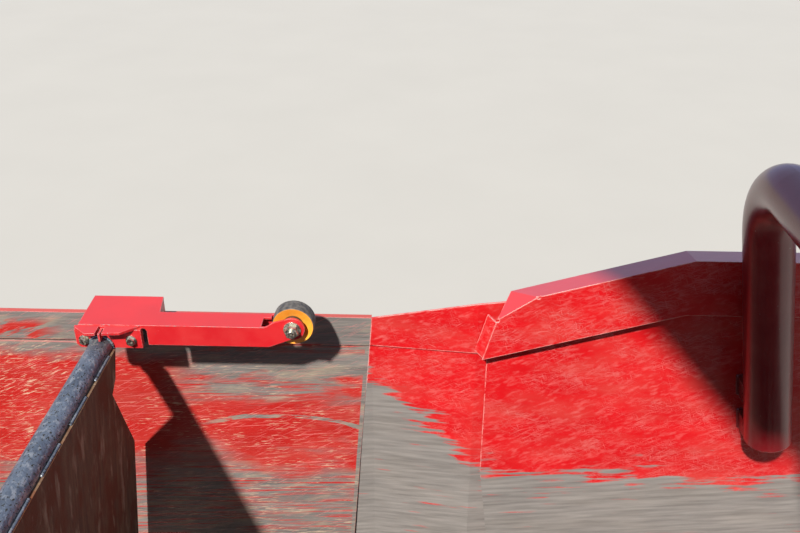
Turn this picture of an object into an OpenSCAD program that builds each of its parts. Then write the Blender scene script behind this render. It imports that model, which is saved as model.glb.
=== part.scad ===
// Bunker of a towed potato harvester, standing on its own underframe.
// +X runs along the bunker to the discharge end, +Y is the driving direction, +Z is up.
// The origin is the centre of the four chassis bolts, at the underside of the feet.

/* [Bunker] */
// Height of the fixed side walls above the underside of the feet
wall_top = 1475; // [1440:5:1500]
// Inner face of the side walls' upper strip, from the middle
wall_y = 850; // [840:2:870]
// Thickness of the wall sheets
sheet = 4; // [3:0.5:5]
// Left end of the bunker
end_x = -1500; // [-1600:10:-1420]
// Seam between side wall and wall extension, at the top
seam_x = -110; // [-130:5:-90]
// Height of the upper strip of the side walls
strip_h = 76; // [60:2:80]
// Width of the folded lip on top of the walls
lip_w = 14; // [12:1:24]

/* [Chassis bolts] */
// Spacing of the bolts along the bunker
bolt_dx = 1240; // [1200:20:1300]
// Spacing of the bolts across it
bolt_dy = 1040; // [1000:20:1080]
// Diameter of the bolt holes
bolt_hole_d = 22; // [18:1:26]

/* [Discharge section] */
// Pivot of the discharge section along X
pivot_x = 340; // [335:1:345]
// Pivot of the discharge section above the feet
pivot_z = 330; // [326:1:334]
// Incline of the discharge section as it stands
incline = 16.3; // [15:0.1:17]
// Distance from its pivot to its head shaft
lift_len = 1330; // [1250:10:1400]
// Inner face of its upper side sheet
lift_y = 740; // [736:1:744]
// Width of the broad flange on its side walls
flange_w = 76; // [70:1:78]
// Fall of the flange from the crease to its outer edge
flange_drop = 16; // [12:1:17]
// Height of the upper side sheet over its ledge
band_h = 131; // [110:1:140]

/* [Conveyors] */
// Half the length of a slat
slat_half = 690; // [660:5:695]
// Distance from slat to slat
slat_pitch = 84; // [75:1:95]
// Outer radius of the fixed conveyor's loop
floor_r = 90; // [84:1:94]
// Outer radius of the discharge conveyor's loop
lift_r = 80; // [76:1:84]
// Height of the flights on the discharge conveyor
flight_h = 40; // [30:1:44]

/* [Flap] */
// Axis of the flap tube along X
flap_x = -694; // [-700:1:-688]
// Outer diameter of the flap tube
flap_d = 50; // [46:1:52]
// Lean of the flap panel towards the left
flap_lean = 6; // [3:0.5:8]
// Length of the flap panel from the tube's axis down
flap_len = 715; // [560:5:725]
// Distance from the flap tube to the roller
arm_reach = 420; // [410:1:428]
// Outer diameter of the roller
roller_d = 92; // [84:1:94]

/* [Guard hoop] */
// Outer diameter of the hoop tube
hoop_d = 98; // [90:2:106]
// Middle of the hoop's top run above the feet
hoop_top = 1930; // [1900:2:1950]
// Lean of the hoop towards the left
hoop_lean = 11; // [6:1:12]

/* [Lift cylinders] */
// Outer diameter of the barrel
barrel_d = 70; // [60:2:74]
// Diameter of the rod
rod_d = 40; // [35:1:44]
// Middle of the cylinders from the middle of the bunker
cyl_y = 868; // [862:1:876]

/* [Hidden] */
$fn = 64;

red = "firebrick";
worn_red = "indianred";
steel = "silver";
dark = "dimgray";

// Walls: the panel stands one sheet outside the upper strip and leans in below
panel_y = wall_y + sheet;
panel_bend_z = 1200;
panel_foot_y = panel_y - 12;
panel_foot_z = 300;
seam_lean = 0.08;
strip_z = wall_top - strip_h;

// Extension: its plan turns inwards right of the seam, then runs straight
ext_turn_x = seam_x + 240;
ext_y = wall_y - 50;
ext_end_x = pivot_x + 220;
ext_foot_z = 204;

// Discharge section's outline
rise = tan(incline);
lift_left_x = pivot_x - 201;
lift_notch_x = lift_left_x + 27;
lift_notch_z = wall_top + 69;
lift_corner_x = lift_left_x + 111;
lift_corner_z = wall_top + 129;
lift_knee_x = pivot_x + 225;
lift_knee_z = lift_corner_z + rise * (lift_knee_x - lift_corner_x);
lift_outer_y = lift_y + 25;
ext_top_gap = 28;
head_x = pivot_x + lift_len * cos(incline);
head_z = pivot_z + lift_len * sin(incline);
lift_end_x = round(head_x + 73);

// Conveyors: tail and head of the fixed one, belts and slats
tail_x = end_x + 170;
floor_head_x = seam_x + 220;
floor_axis_z = 340;
strap_t = 10;
slat_t = 14;
slat_w = 38;
belt_rows = [-600, 0, 600];
belt_w = 60;
shaft_r = 25;
running = 0.05;

// Underframe
foot_t = 15;
beam_h = 105;
cross_h = 80;
cross_z = foot_t + beam_h;
cross_top = cross_z + cross_h;
cross_xs = [-1250, -620, -40, 400];
post_y0 = panel_y + sheet;
post_d = 46;

// Flap and levers
flap_z = wall_top - 5;
arm_top = wall_top + 45;
arm_y1 = wall_y - 62;
arm_y0 = arm_y1 - 57;
arm_t = 5;
web_h = 50;
plate_t = 8;
roller_x = flap_x + arm_reach;
roller_z = flap_z + 47;
roller_y0 = arm_y0 + 11;
roller_y1 = arm_y1 - 9;
stub_r = 14;
bracket_y = arm_y0 - plate_t;
bracket_bolt_xs = [flap_x - 35, flap_x + 68];
bracket_bolt_z = arm_top - 34;

// Distance from the hoop's top run down to the line that it leans about
hoop_hang = 92;

// Lift cylinders: pins on the underframe and on the discharge section
foot_pin_x = pivot_x + 142;
foot_pin_z = 110;
rod_pin_x = pivot_x + 700;
rod_pin_z = pivot_z + rise * (rod_pin_x - pivot_x);
pin_r = 15;
cyl_angle = atan2(rod_pin_z - foot_pin_z, rod_pin_x - foot_pin_x);
cyl_len = norm([rod_pin_x - foot_pin_x, rod_pin_z - foot_pin_z]);
barrel_len = 520;

// Height of the crease on top of the discharge section's wall
function crease_z(x) = x < lift_knee_x
  ? lift_corner_z + rise * (x - lift_corner_x)
  : lift_knee_z;

// Offsets a mostly upright outline of (y, z) points outwards by t
function thick(p, t) = concat(p, [for (i = [len(p) - 1 : -1 : 0]) p[i] + [t, 0]]);

// Extrudes an outline of (y, z) points along X
module along_x(points, x0, x1) {
  translate([x0, 0, 0]) rotate([90, 0, 90]) linear_extrude(x1 - x0) polygon(points);
}

// Extrudes an outline of (x, z) points along Y
module along_y(points, y0, y1) {
  translate([0, y1, 0]) rotate([90, 0, 0]) linear_extrude(y1 - y0) polygon(points);
}

// A round bar or hole along Y
module round_y(x, z, r, y0, y1) {
  translate([x, y1, z]) rotate([90, 0, 0]) cylinder(r = r, h = y1 - y0);
}

module box(x0, x1, y0, y1, z0, z1) {
  translate([x0, y0, z0]) cube([x1 - x0, y1 - y0, z1 - z0]);
}

// Two mirrored halves, front and rear
module both_sides() {
  children();
  mirror([0, 1, 0]) children();
}

// The discharge section's own slope: local X runs up the conveyor from the pivot
module on_slope() {
  translate([pivot_x, 0, pivot_z]) rotate([0, -incline, 0]) children();
}

// Place at a distance s along a loop of two straight runs and two half circles
module at_loop(s, run, r) {
  arc = PI * r;
  if (s < run)
    translate([s, 0, r]) children();
  else if (s < run + arc)
    translate([run, 0, 0]) rotate([0, (s - run) / r * 180 / PI, 0])
      translate([0, 0, r]) children();
  else if (s < 2 * run + arc)
    translate([2 * run + arc - s, 0, -r]) rotate([0, 180, 0]) children();
  else
    rotate([0, 180 + (s - 2 * run - arc) / r * 180 / PI, 0])
      translate([0, 0, r]) children();
}

module stadium(run, r) {
  circle(r = r);
  translate([run, 0]) circle(r = r);
  translate([0, -r]) square([run, 2 * r]);
}

// Three belt strands carrying slats of folded channel section
module conveyor(run, r_out, flights) {
  belt_out = r_out - slat_t;
  total = 2 * run + 2 * PI * belt_out;
  count = floor(total / slat_pitch);
  step = total / count;
  w = slat_w / 2;
  slat = [[-w, -4], [3 - w, -4], [3 - w, slat_t - 3], [w - 3, slat_t - 3], [w - 3, -4],
          [w, -4], [w, slat_t - 4], [w - 4, slat_t], [4 - w, slat_t], [-w, slat_t - 4]];
  for (y = belt_rows)
    translate([0, y + belt_w / 2, 0]) rotate([90, 0, 0]) linear_extrude(belt_w)
      difference() {
        stadium(run, belt_out);
        stadium(run, belt_out - strap_t);
      }
  for (i = [0 : count - 1])
    at_loop(i * step + slat_pitch / 2, run, belt_out)
      along_y(slat, -slat_half, slat_half);
  if (flights)
    for (i = [1 : 4 : count - 1]) {
      s = i * step + slat_pitch / 2;
      if (s < run - 40 || (s > run + PI * belt_out + 40 && s < 2 * run + PI * belt_out - 40))
        at_loop(s, run, belt_out)
          box(-4, 4, -slat_half + 40, slat_half - 40, slat_t - 2, slat_t + flight_h);
    }
}

module sprockets(r) {
  for (y = belt_rows) round_y(0, 0, r, y - 20, y + 20);
}

// Longitudinal beams, cross beams and bolted feet
module underframe() color(red) difference() {
  union() {
    for (side = [-1, 1]) {
      box(-1300, 700, side * bolt_dy / 2 - 40, side * bolt_dy / 2 + 40, foot_t, cross_z);
      for (end = [-1, 1])
        translate([end * bolt_dx / 2, side * bolt_dy / 2, foot_t / 2])
          cube([220, 200, foot_t], center = true);
    }
    for (x = cross_xs)
      box(x - 40, x + 40, -post_y0 - post_d, post_y0 + post_d, cross_z - 1, cross_top);
    both_sides() box(360, 440, ext_y + 2 * sheet + 0.3, ext_y + 42, cross_top - 1, 260);
  }
  for (side = [-1, 1], end = [-1, 1])
    translate([end * bolt_dx / 2, side * bolt_dy / 2, -1])
      cylinder(d = bolt_hole_d, h = cross_z + 2);
  for (side = [-1, 1])
    box(-1290, 690, side * bolt_dy / 2 - 34, side * bolt_dy / 2 + 34, foot_t + 6, cross_z - 6);
  for (x = cross_xs)
    box(x - 34, x + 34, -post_y0 - post_d - 1, post_y0 + post_d + 1, cross_z + 5, cross_top - 6);
}

// Fixed side wall: folded lip, upright strip and a panel that leans in at the bottom
module side_wall() {
  panel = [[panel_foot_y, panel_foot_z], [panel_foot_y, 620],
           [panel_y, panel_bend_z], [panel_y, strip_z + 12]];
  reach = seam_lean * (wall_top - panel_foot_z);
  difference() {
    union() {
      along_x(thick(panel, sheet), end_x, seam_x);
      along_x([[wall_y, strip_z], [wall_y + sheet, strip_z], [wall_y + sheet, wall_top - sheet],
               [wall_y + lip_w - sheet, wall_top - sheet],
               [wall_y + lip_w - sheet, wall_top - 22], [wall_y + lip_w, wall_top - 22],
               [wall_y + lip_w, wall_top], [wall_y, wall_top]], end_x, seam_x);
    }
    along_y([[seam_x, wall_top + 1], [seam_x + 9, wall_top + 1],
             [seam_x + 9, panel_foot_z - 1], [seam_x - reach, panel_foot_z - 1]],
            wall_y - 60, wall_y + 60);
    round_y(floor_head_x, floor_axis_z, 40, 780, 900);
    round_y(tail_x, floor_axis_z, 36, 780, 900);
  }
}

module front_wall() color(red) side_wall();
module rear_wall() color(red) mirror([0, 1, 0]) side_wall();

// Plan of the extension's sheet, shifted outwards by d
// Its outer face bends at ext_turn_x, where the lower sheet's face is ext_out(x)
function ext_out(x) = 2 * sheet
  + (x < ext_turn_x ? wall_y + (ext_y - wall_y) * (x - seam_x) / (ext_turn_x - seam_x) : ext_y);
function ext_plan(d) = [
  [seam_x - 100, wall_y + d], [seam_x, wall_y + d], [ext_turn_x, ext_y + d],
  [ext_end_x, ext_y + d], [ext_end_x, ext_y + d + sheet], [ext_turn_x, ext_y + d + sheet],
  [seam_x, wall_y + d + sheet], [seam_x - 100, wall_y + d + sheet]];

// Wall extension: upper plate over a lower sheet, set one sheet apart, with a fold at its end
module extension() {
  dip_x = lift_notch_x + 29;
  top = [[seam_x, wall_top], [ext_turn_x, crease_z(ext_turn_x) - ext_top_gap + 6],
         [dip_x, crease_z(dip_x) - ext_top_gap - 5],
         [lift_corner_x, crease_z(lift_corner_x) - ext_top_gap],
         [ext_end_x, crease_z(ext_end_x) - ext_top_gap]];
  low_z = strip_z + 18;
  difference() {
    union() {
      intersection() {
        linear_extrude(2000) polygon(ext_plan(0));
        along_y(concat([[seam_x + 0.5 - seam_lean * strip_h, strip_z]], top,
                       [[ext_end_x, low_z], [ext_turn_x, low_z]]), 700, 950);
      }
      intersection() {
        linear_extrude(2000) polygon(ext_plan(sheet));
        along_y([[seam_x - seam_lean * (wall_top - ext_foot_z), ext_foot_z],
                 [seam_x - seam_lean * (strip_h - 12) + 0.5, strip_z + 12],
                 [ext_turn_x, low_z + 12], [ext_end_x, low_z + 12],
                 [ext_end_x, 420], [500, ext_foot_z]], 700, 950);
      }
      box(ext_end_x - sheet, ext_end_x, ext_y, ext_y + 32, 430, crease_z(ext_end_x) - 40);
    }
    round_y(floor_head_x, floor_axis_z, 40, 780, 900);
    round_y(pivot_x, pivot_z, 40, 780, 900);
  }
}

module front_extension() color(red) extension();
module rear_extension() color(red) mirror([0, 1, 0]) extension();

// Left end wall with folded lip and the chute over the conveyor's tail
module end_wall() color(red) {
  t = sheet;
  chute_z = floor_axis_z + floor_r + 16;
  outline = [[end_x - t, panel_foot_z], [end_x, panel_foot_z], [end_x, chute_z + 270],
             [tail_x - 38, chute_z], [tail_x - 35, chute_z + 4], [end_x, chute_z + 280],
             [end_x, wall_top],
             [end_x - lip_w, wall_top], [end_x - lip_w, wall_top - 22],
             [end_x - lip_w + t, wall_top - 22], [end_x - lip_w + t, wall_top - t],
             [end_x - t, wall_top - t]];
  along_y(outline, -panel_foot_y, panel_foot_y);
  both_sides() along_y([[end_x - t, panel_foot_z], [end_x, panel_foot_z],
    [end_x, wall_top], [end_x - t, wall_top]], panel_foot_y - 1, wall_y + lip_w);
  for (y = [-560, 0, 560]) difference() {
    box(end_x - 50, end_x - t + 1, y - 30, y + 30, panel_foot_z, wall_top - 60);
    box(end_x - 51, end_x - t - 4, y - 25, y + 25, panel_foot_z + 30, wall_top - 90);
  }
}

// Upright channel posts outside the side walls, open at their outer face
module posts() {
  for (x = [cross_xs[0], cross_xs[1], cross_xs[2] - 120]) difference() {
    box(x - 30, x + 30, post_y0, post_y0 + post_d, cross_top, wall_top - 26);
    box(x - 25, x + 25, post_y0 + 5, post_y0 + post_d + 1, cross_top + 40, wall_top - 60);
  }
  foot_x = cross_xs[2] - 150;
  box(foot_x, cross_xs[2] + 40, post_y0, post_y0 + post_d, cross_top, cross_top + 12);
  for (z = [620, 1240])
    box(end_x + 2, cross_xs[2] - 90, post_y0, post_y0 + 26, z - 14, z + 14);
}

module front_posts() color(red) posts();
module rear_posts() color(red) mirror([0, 1, 0]) posts();

// Sloping skirts that lead onto the fixed conveyor
module floor_skirts() color(worn_red) {
  skirt_y = slat_half + 13;
  skirt_z = floor_axis_z + floor_r + 14;
  x0 = tail_x - 32;
  x1 = floor_head_x - 10;
  both_sides() intersection() {
    along_x([[panel_y, skirt_z + 191], [skirt_y, skirt_z], [skirt_y, skirt_z - 8],
             [panel_y, skirt_z + 183]], x0, x1);
    linear_extrude(wall_top) polygon([[x0, skirt_y - 3], [x0, panel_foot_y],
      [seam_x - 62, panel_foot_y], [seam_x - 62, panel_y - 0.5], [seam_x, panel_y - 0.5],
      [x1, ext_out(x1) - sheet - 0.6], [x1, skirt_y - 3]]);
  }
}

module floor_conveyor() color(steel)
  translate([tail_x, 0, floor_axis_z]) conveyor(floor_head_x - tail_x, floor_r, false);

// Head shaft of the fixed conveyor, in two flange bearings outside the walls
module floor_head_shaft() color(dark) translate([floor_head_x, 0, floor_axis_z]) {
  round_y(0, 0, shaft_r, -852, 850);
  sprockets(floor_r - slat_t - strap_t - 0.5);
  both_sides() round_y(0, 0, 38, 780, 830);
}

module floor_tail_shaft() color(dark) translate([tail_x, 0, floor_axis_z]) {
  round_y(0, 0, shaft_r, -884, 884);
  sprockets(floor_r - slat_t - strap_t - 0.5);
  both_sides() round_y(0, 0, 34, 820, 880);
}

// Rails under the top run, on pedestals over tubes that cross the loop from wall to wall
module slide_rails() color(dark) {
  rail_top = floor_axis_z + floor_r - slat_t - strap_t - 1;
  tube_top = floor_axis_z + 20;
  for (y = belt_rows)
    box(tail_x + 90, floor_head_x - 90, y - 25, y + 25, rail_top - 12, rail_top);
  for (x = [-1000, cross_xs[1], -260]) {
    difference() {
      box(x - 20, x + 20, 0.3 - panel_foot_y, panel_foot_y - 0.3, floor_axis_z - 20, tube_top);
      box(x - 16, x + 16, -panel_foot_y, panel_foot_y, floor_axis_z - 16, tube_top - 4);
    }
    for (y = belt_rows) box(x - 16, x + 16, y - 5, y + 5, tube_top - 1, rail_top - 11);
  }
}

// Hydraulic motor with its gearbox on the rear end of the head shaft
module floor_motor() color(dark) translate([floor_head_x, 0, floor_axis_z]) {
  translate([-70, -900, -70]) cube([140, 48, 140]);
  round_y(0, 0, 56, -990, -899);
  for (a = [-22, 22]) translate([a, -950, 50]) cylinder(r = 11, h = 34);
  for (x = [-56, 56], z = [-56, 56])
    round_y(x, z, 9, -853, -ext_out(floor_head_x + x - 9) - 0.4);
}

// Bridges the gap between the two conveyors, on two legs from the beams
module transfer_plate() color(steel) {
  along_y([[202, 408], [236, 398], [236, 404], [202, 414]], 15 - lift_y, lift_y - 15);
  for (side = [-1, 1])
    box(207, 213, side * bolt_dy / 2 - 20, side * bolt_dy / 2 + 20, cross_z, 408);
}

// Flange bearings of the flap tube on the walls' upper strip
module flap_bearings() color(dark) both_sides() difference() {
  union() {
    round_y(flap_x, flap_z, stub_r + 14, 796, wall_y);
    box(flap_x - 55, flap_x + 55, wall_y - 8, wall_y, strip_z + 2, wall_top - 6);
  }
  round_y(flap_x, flap_z, stub_r + running, 790, panel_y + 6);
}

// Bearings of the discharge section's pivot, on the extension's cheeks
module pivot_bearings() color(dark) both_sides() difference() {
  union() {
    round_y(pivot_x, pivot_z, 39.5, ext_y - 8, ext_y + 50);
    round_y(pivot_x, pivot_z, 70, ext_y + 2 * sheet, ext_y + 20);
  }
  round_y(pivot_x, pivot_z, shaft_r + running, 780, 900);
}

// Forked feet of the lift cylinders on the last cross beam
module cylinder_feet() color(red) both_sides() difference() {
  union() {
    for (y = [cyl_y - 34, cyl_y + 22])
      along_y([[440, 92], [foot_pin_x, 78], [foot_pin_x + 32, foot_pin_z],
               [foot_pin_x, 142], [450, 182], [440, 182]], y, y + 12);
    box(440, 450, cyl_y - 34, cyl_y + 34, 92, 182);
    round_y(foot_pin_x, foot_pin_z, pin_r, cyl_y - 42, cyl_y + 42);
  }
}

// Flap tube with its stub shafts
module flap_tube() color(dark) {
  difference() {
    round_y(flap_x, flap_z, flap_d / 2, -bracket_y, bracket_y);
    round_y(flap_x, flap_z, flap_d / 2 - 4, 7 - bracket_y, bracket_y - 7);
  }
  both_sides() round_y(flap_x, flap_z, stub_r, bracket_y - 7, wall_y - 2);
}

// Panel hung from the tube's right side, narrow above and wide below, leaning left
module flap_panel() color("saddlebrown")
  translate([flap_x, 0, flap_z]) rotate([0, flap_lean, 0]) {
    x0 = flap_d / 2 + 0.3;
    half = [[0, -flap_len], [wall_y - 44, -flap_len], [wall_y - 37, -340],
            [bracket_y - 42, -98], [bracket_y - 17, -72], [bracket_y - 7, 0], [0, 0]];
    both_sides() along_x(half, x0, x0 + 7);
    for (y = [-420, 0, 420]) box(x0 - 26, x0 + 1, y - 3, y + 3, 30 - flap_len, -45);
  }

// Lever arm: top plate with a broad end over the wall, front web with an ear, back web
module lever_arm() {
  ear_r = 27;
  wide_x0 = flap_x - 47;
  web = [[wide_x0, arm_top - web_h], [roller_x - 53, arm_top - web_h],
         [roller_x - 4, roller_z - ear_r + 0.3], [roller_x + 4, roller_z],
         [roller_x - 18, roller_z + 22], [roller_x - 42, arm_top + 12],
         [roller_x - 53, arm_top + 3], [roller_x - 60, arm_top], [wide_x0, arm_top]];
  difference() {
    union() {
      translate([0, 0, arm_top - arm_t]) linear_extrude(arm_t)
        polygon([[wide_x0, arm_y0], [roller_x - 68, arm_y0], [roller_x - 68, arm_y1 - 16],
                 [roller_x - 51, arm_y1 - 16], [roller_x - 51, arm_y1],
                 [flap_x + 118, arm_y1], [flap_x + 108, wall_y + 3],
                 [wide_x0 - 3, wall_y + 3]]);
      along_y(web, arm_y0, arm_y0 + arm_t);
      round_y(roller_x, roller_z, ear_r, arm_y0, arm_y0 + arm_t);
      // Back web, shorter than the front one
      along_y([[roller_x - 150, arm_top - 40], [roller_x - 46, arm_top - 40],
               [roller_x, roller_z - 25], [roller_x, roller_z + 22],
               [roller_x - 51, arm_top], [roller_x - 150, arm_top]], arm_y1 - arm_t, arm_y1);
      round_y(roller_x, roller_z, 26, arm_y1 - arm_t, arm_y1);
      // Folds of the broad end, over the wall's lip and along its right side
      box(flap_x + 36, flap_x + 108, wall_y - 4, wall_y + 1, wall_top + 8, arm_top - 1);
      translate([0, 0, wall_top + 14]) linear_extrude(arm_top - wall_top - 15)
        polygon([[flap_x + 118, arm_y1 - 2], [flap_x + 108, wall_y + 1],
                 [flap_x + 103, wall_y + 1], [flap_x + 113, arm_y1 - 2]]);
    }
    // Slot between the bracket and the free part of the web
    along_y([[flap_x + 91, arm_top - web_h - 1], [flap_x + 102, arm_top - web_h - 1],
             [flap_x + 102, arm_top - 14], [flap_x + 98, arm_top - 8],
             [flap_x + 91, arm_top - 8]], arm_y0 - 1, arm_y0 + arm_t + 1);
    round_y(roller_x, roller_z, 10 + running, 700, 800);
    round_y(flap_x, flap_z, stub_r + 0.3, 700, 800);
    for (x = bracket_bolt_xs) round_y(x, bracket_bolt_z, 6.3, 700, 800);
  }
}

module front_arm() color(red) lever_arm();
module rear_arm() color(red) mirror([0, 1, 0]) lever_arm();

// Bracket at the tube's end: upright plate, level gusset with a slot, rib over the tube
module flap_brackets() color(red) both_sides() {
  gusset_z = arm_top - 8;
  difference() {
    union() {
      along_y([[flap_x - 54, arm_top - 45], [flap_x - 45, arm_top - 54],
               [flap_x + 91, arm_top - 54], [flap_x + 91, gusset_z + 0.5],
               [flap_x - 54, gusset_z + 0.5]], bracket_y, arm_y0);
      round_y(flap_x, flap_z, stub_r + 15, bracket_y, arm_y0);
    }
    round_y(flap_x, flap_z, stub_r + 0.3, bracket_y - 1, arm_y0 + 1);
    for (x = bracket_bolt_xs) round_y(x, bracket_bolt_z, 6.3, bracket_y - 1, arm_y0 + 1);
  }
  translate([0, 0, gusset_z]) linear_extrude(6) difference() {
    polygon([[flap_x - 54, arm_y0], [flap_x + 88, arm_y0], [flap_x + 52, arm_y0 - 28],
             [flap_x - 22, arm_y0 - 34], [flap_x - 54, arm_y0 - 6]]);
    polygon([[flap_x, arm_y0 - 40], [flap_x + 14, arm_y0 - 40], [flap_x + 14, arm_y0 - 3],
             [flap_x, arm_y0 - 3]]);
  }
  box(flap_x + 5, flap_x + 9, arm_y0 - 30, bracket_y + 1, flap_z + flap_d / 2 + 0.4,
      gusset_z + 3);
}

// Bolts of the brackets and the rollers, heads towards the bunker
module arm_bolts() color(steel) both_sides() {
  for (x = bracket_bolt_xs) {
    round_y(x, bracket_bolt_z, 6, bracket_y - 8, arm_y0 + arm_t + 8);
    round_y(x, bracket_bolt_z, 12, bracket_y - 2, bracket_y);
    translate([x, bracket_y - 2, bracket_bolt_z]) rotate([90, 30, 0])
      cylinder(r = 9.2, h = 8, $fn = 6);
  }
  round_y(roller_x, roller_z, 10, arm_y0 - 12, arm_y1 + 14);
  round_y(roller_x, roller_z, 8, arm_y0 - 25, arm_y0 - 11);
  round_y(roller_x, roller_z, 18.8, arm_y0 - 3, arm_y0);
  translate([roller_x, arm_y0 - 3, roller_z]) rotate([90, 12, 0])
    cylinder(r = 15, h = 14, $fn = 6);
  translate([roller_x, arm_y1 + 12, roller_z]) rotate([90, 12, 0])
    cylinder(r = 15, h = 12, $fn = 6);
}

// Roller with dished faces and a slightly crowned tread, turned round its bolt
module roller() translate([roller_x, 0, roller_z]) rotate([-90, 0, 0])
  rotate_extrude($fn = 96) polygon([
    [10 + running, roller_y0 - 4], [19, roller_y0 - 4], [20, roller_y0 + 9],
    [roller_d / 2 - 4, roller_y0 + 0.6], [roller_d / 2 - 2, roller_y0],
    [roller_d / 2 - 0.6, roller_y0 + 2], [roller_d / 2, (roller_y0 + roller_y1) / 2],
    [roller_d / 2 - 0.6, roller_y1 - 2], [roller_d / 2 - 2, roller_y1],
    [10 + running, roller_y1]]);

module front_roller() color("orange") roller();
module rear_roller() color("orange") mirror([0, 1, 0]) roller();

// Outline of the discharge wall's lower sheet, from the ledge down round the conveyor
function lower_sheet() = let (s = sin(incline), c = cos(incline), drop = lift_r + 34)
  [[lift_left_x + 12, 1100],
   [lift_left_x + 12, crease_z(lift_left_x + 12) - band_h],
   [lift_knee_x, lift_knee_z - band_h], [lift_end_x, lift_knee_z - band_h],
   [lift_end_x, head_z - 60], [head_x + 40, head_z - drop],
   [head_x + drop * s, head_z - drop * c],
   [pivot_x + drop * s, pivot_z - drop * c],
   [pivot_x - 60, pivot_z - 80], [pivot_x - 96, pivot_z]];

// Side wall of the discharge section
module lift_wall() {
  ledge_left_z = crease_z(lift_left_x) - band_h;
  upper = [[lift_left_x, ledge_left_z], [lift_knee_x, lift_knee_z - band_h],
           [lift_end_x, lift_knee_z - band_h], [lift_end_x, lift_knee_z - 1.5],
           [lift_knee_x, lift_knee_z - 1.5], [lift_corner_x, lift_corner_z - 1.5],
           [lift_notch_x, lift_notch_z - 1.5]];
  difference() {
    union() {
      along_y(upper, lift_y, lift_y + sheet);
      along_y(lower_sheet(), lift_outer_y, lift_outer_y + sheet);
      // Ledge between the two sheets
      along_y([[lift_left_x + 12, crease_z(lift_left_x + 12) - band_h],
               [lift_knee_x, lift_knee_z - band_h], [lift_end_x, lift_knee_z - band_h],
               [lift_end_x, lift_knee_z - band_h + sheet],
               [lift_knee_x, lift_knee_z - band_h + sheet],
               [lift_left_x + 12, crease_z(lift_left_x + 12) - band_h + sheet]],
              lift_y, lift_outer_y + sheet);
      // Bevel of the left edge, turned outwards
      bevel();
      flange();
      // Folded return at the open end
      box(lift_end_x - sheet, lift_end_x, lift_outer_y, lift_outer_y + 34,
          head_z - 40, lift_knee_z - band_h);
    }
    round_y(lift_notch_x + 1, lift_notch_z - 1, 4.5, lift_y - 1, lift_y + sheet + 1);
    round_y(lift_corner_x + 1, lift_corner_z - 1, 4.5, lift_y - 1, lift_y + sheet + 1);
    on_slope() round_y(lift_len, 0, 32, lift_outer_y - 1, lift_outer_y + sheet + 1);
    round_y(pivot_x, pivot_z, 46.3, lift_outer_y - 1, lift_outer_y + sheet + 1);
  }
}

// Broad flange on the crease: corner facet, rising run and level run, falling outwards
module flange() {
  y1 = lift_y + flange_w;
  out_x = lift_notch_x + 34;
  out_z = crease_z(out_x) - flange_drop;
  top = [[lift_notch_x, lift_y, lift_notch_z], [lift_corner_x, lift_y, lift_corner_z],
         [lift_knee_x, lift_y, lift_knee_z], [lift_end_x, lift_y, lift_knee_z],
         [lift_end_x, y1, lift_knee_z - flange_drop],
         [lift_knee_x, y1, lift_knee_z - flange_drop], [out_x, y1, out_z]];
  n = len(top);
  polyhedron(
    points = concat(top, [for (p = top) p - [0, 0, sheet]]),
    faces = concat([[0, 6, 1], [1, 6, 5, 2], [2, 5, 4, 3]],
                   [[7, 8, 13], [8, 9, 12, 13], [9, 10, 11, 12]],
                   [for (i = [0 : n - 1]) let (j = (i + 1) % n) [i, j, j + n, i + n]]));
}

// The turned-out left edge, leaning like the sheet's end
module bevel() {
  z0 = crease_z(lift_left_x) - band_h;
  dx = lift_notch_x - lift_left_x;
  dz = lift_notch_z - z0;
  translate([lift_left_x, lift_y, z0]) rotate([0, atan2(dx, dz), 0])
    translate([0.4, 0.3, 0]) rotate([0, 0, 125]) translate([0, -sheet, 4])
      cube([31, sheet, norm([dx, dz]) - 10]);
}

module lift_front_wall() color(red) lift_wall();
module lift_rear_wall() color(red) mirror([0, 1, 0]) lift_wall();

// Cross tubes, slide rails and skirts of the discharge section, inside the loop
module lift_frame() color(red) on_slope() {
  rail_top = lift_r - slat_t - strap_t - 1;
  for (x = [260 : 400 : lift_len - 260]) difference() {
    box(x - 30, x + 30, -lift_outer_y, lift_outer_y, -30, 30);
    box(x - 25, x + 25, -lift_outer_y - 1, lift_outer_y + 1, -25, 25);
  }
  for (y = belt_rows) box(90, lift_len - 90, y - 22, y + 22, 29, rail_top);
  both_sides() along_x([[lift_outer_y, lift_r + 116], [slat_half + 7, lift_r + 12],
                        [slat_half + 7, lift_r + 6], [lift_outer_y, lift_r + 110]],
                       60, lift_len + 20);
}

module lift_conveyor() color(steel) on_slope() conveyor(lift_len, lift_r, true);

module lift_head_shaft() color(dark) on_slope() translate([lift_len, 0, 0]) {
  round_y(0, 0, shaft_r, -812, 800);
  sprockets(lift_r - slat_t - strap_t - 0.5);
  both_sides() round_y(0, 0, 30, 740, 790);
  both_sides() round_y(0, 0, 52, lift_outer_y + sheet, lift_outer_y + 16);
}

// Tail shaft on the pivot, with its journals in the pivot bearings
module lift_tail_shaft() color(dark) translate([pivot_x, 0, pivot_z]) {
  round_y(0, 0, shaft_r, -862, 862);
  sprockets(lift_r - slat_t - strap_t - 0.5);
  both_sides() round_y(0, 0, 46, 744, lift_outer_y + sheet + 8);
  both_sides() round_y(0, 0, 34, ext_y + 54, ext_y + 62);
}

// Hydraulic motor of the discharge conveyor, on the rear end of its head shaft
module lift_motor() color(dark) on_slope() translate([lift_len, 0, 0]) {
  translate([-60, -858, -60]) cube([120, 46, 120]);
  round_y(0, 0, 46, -935, -857);
  for (a = [-18, 18]) translate([a, -900, 40]) cylinder(r = 10, h = 30);
  for (x = [-48, 48], z = [-48, 48]) round_y(x, z, 8, -813, -lift_outer_y - sheet);
}

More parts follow.
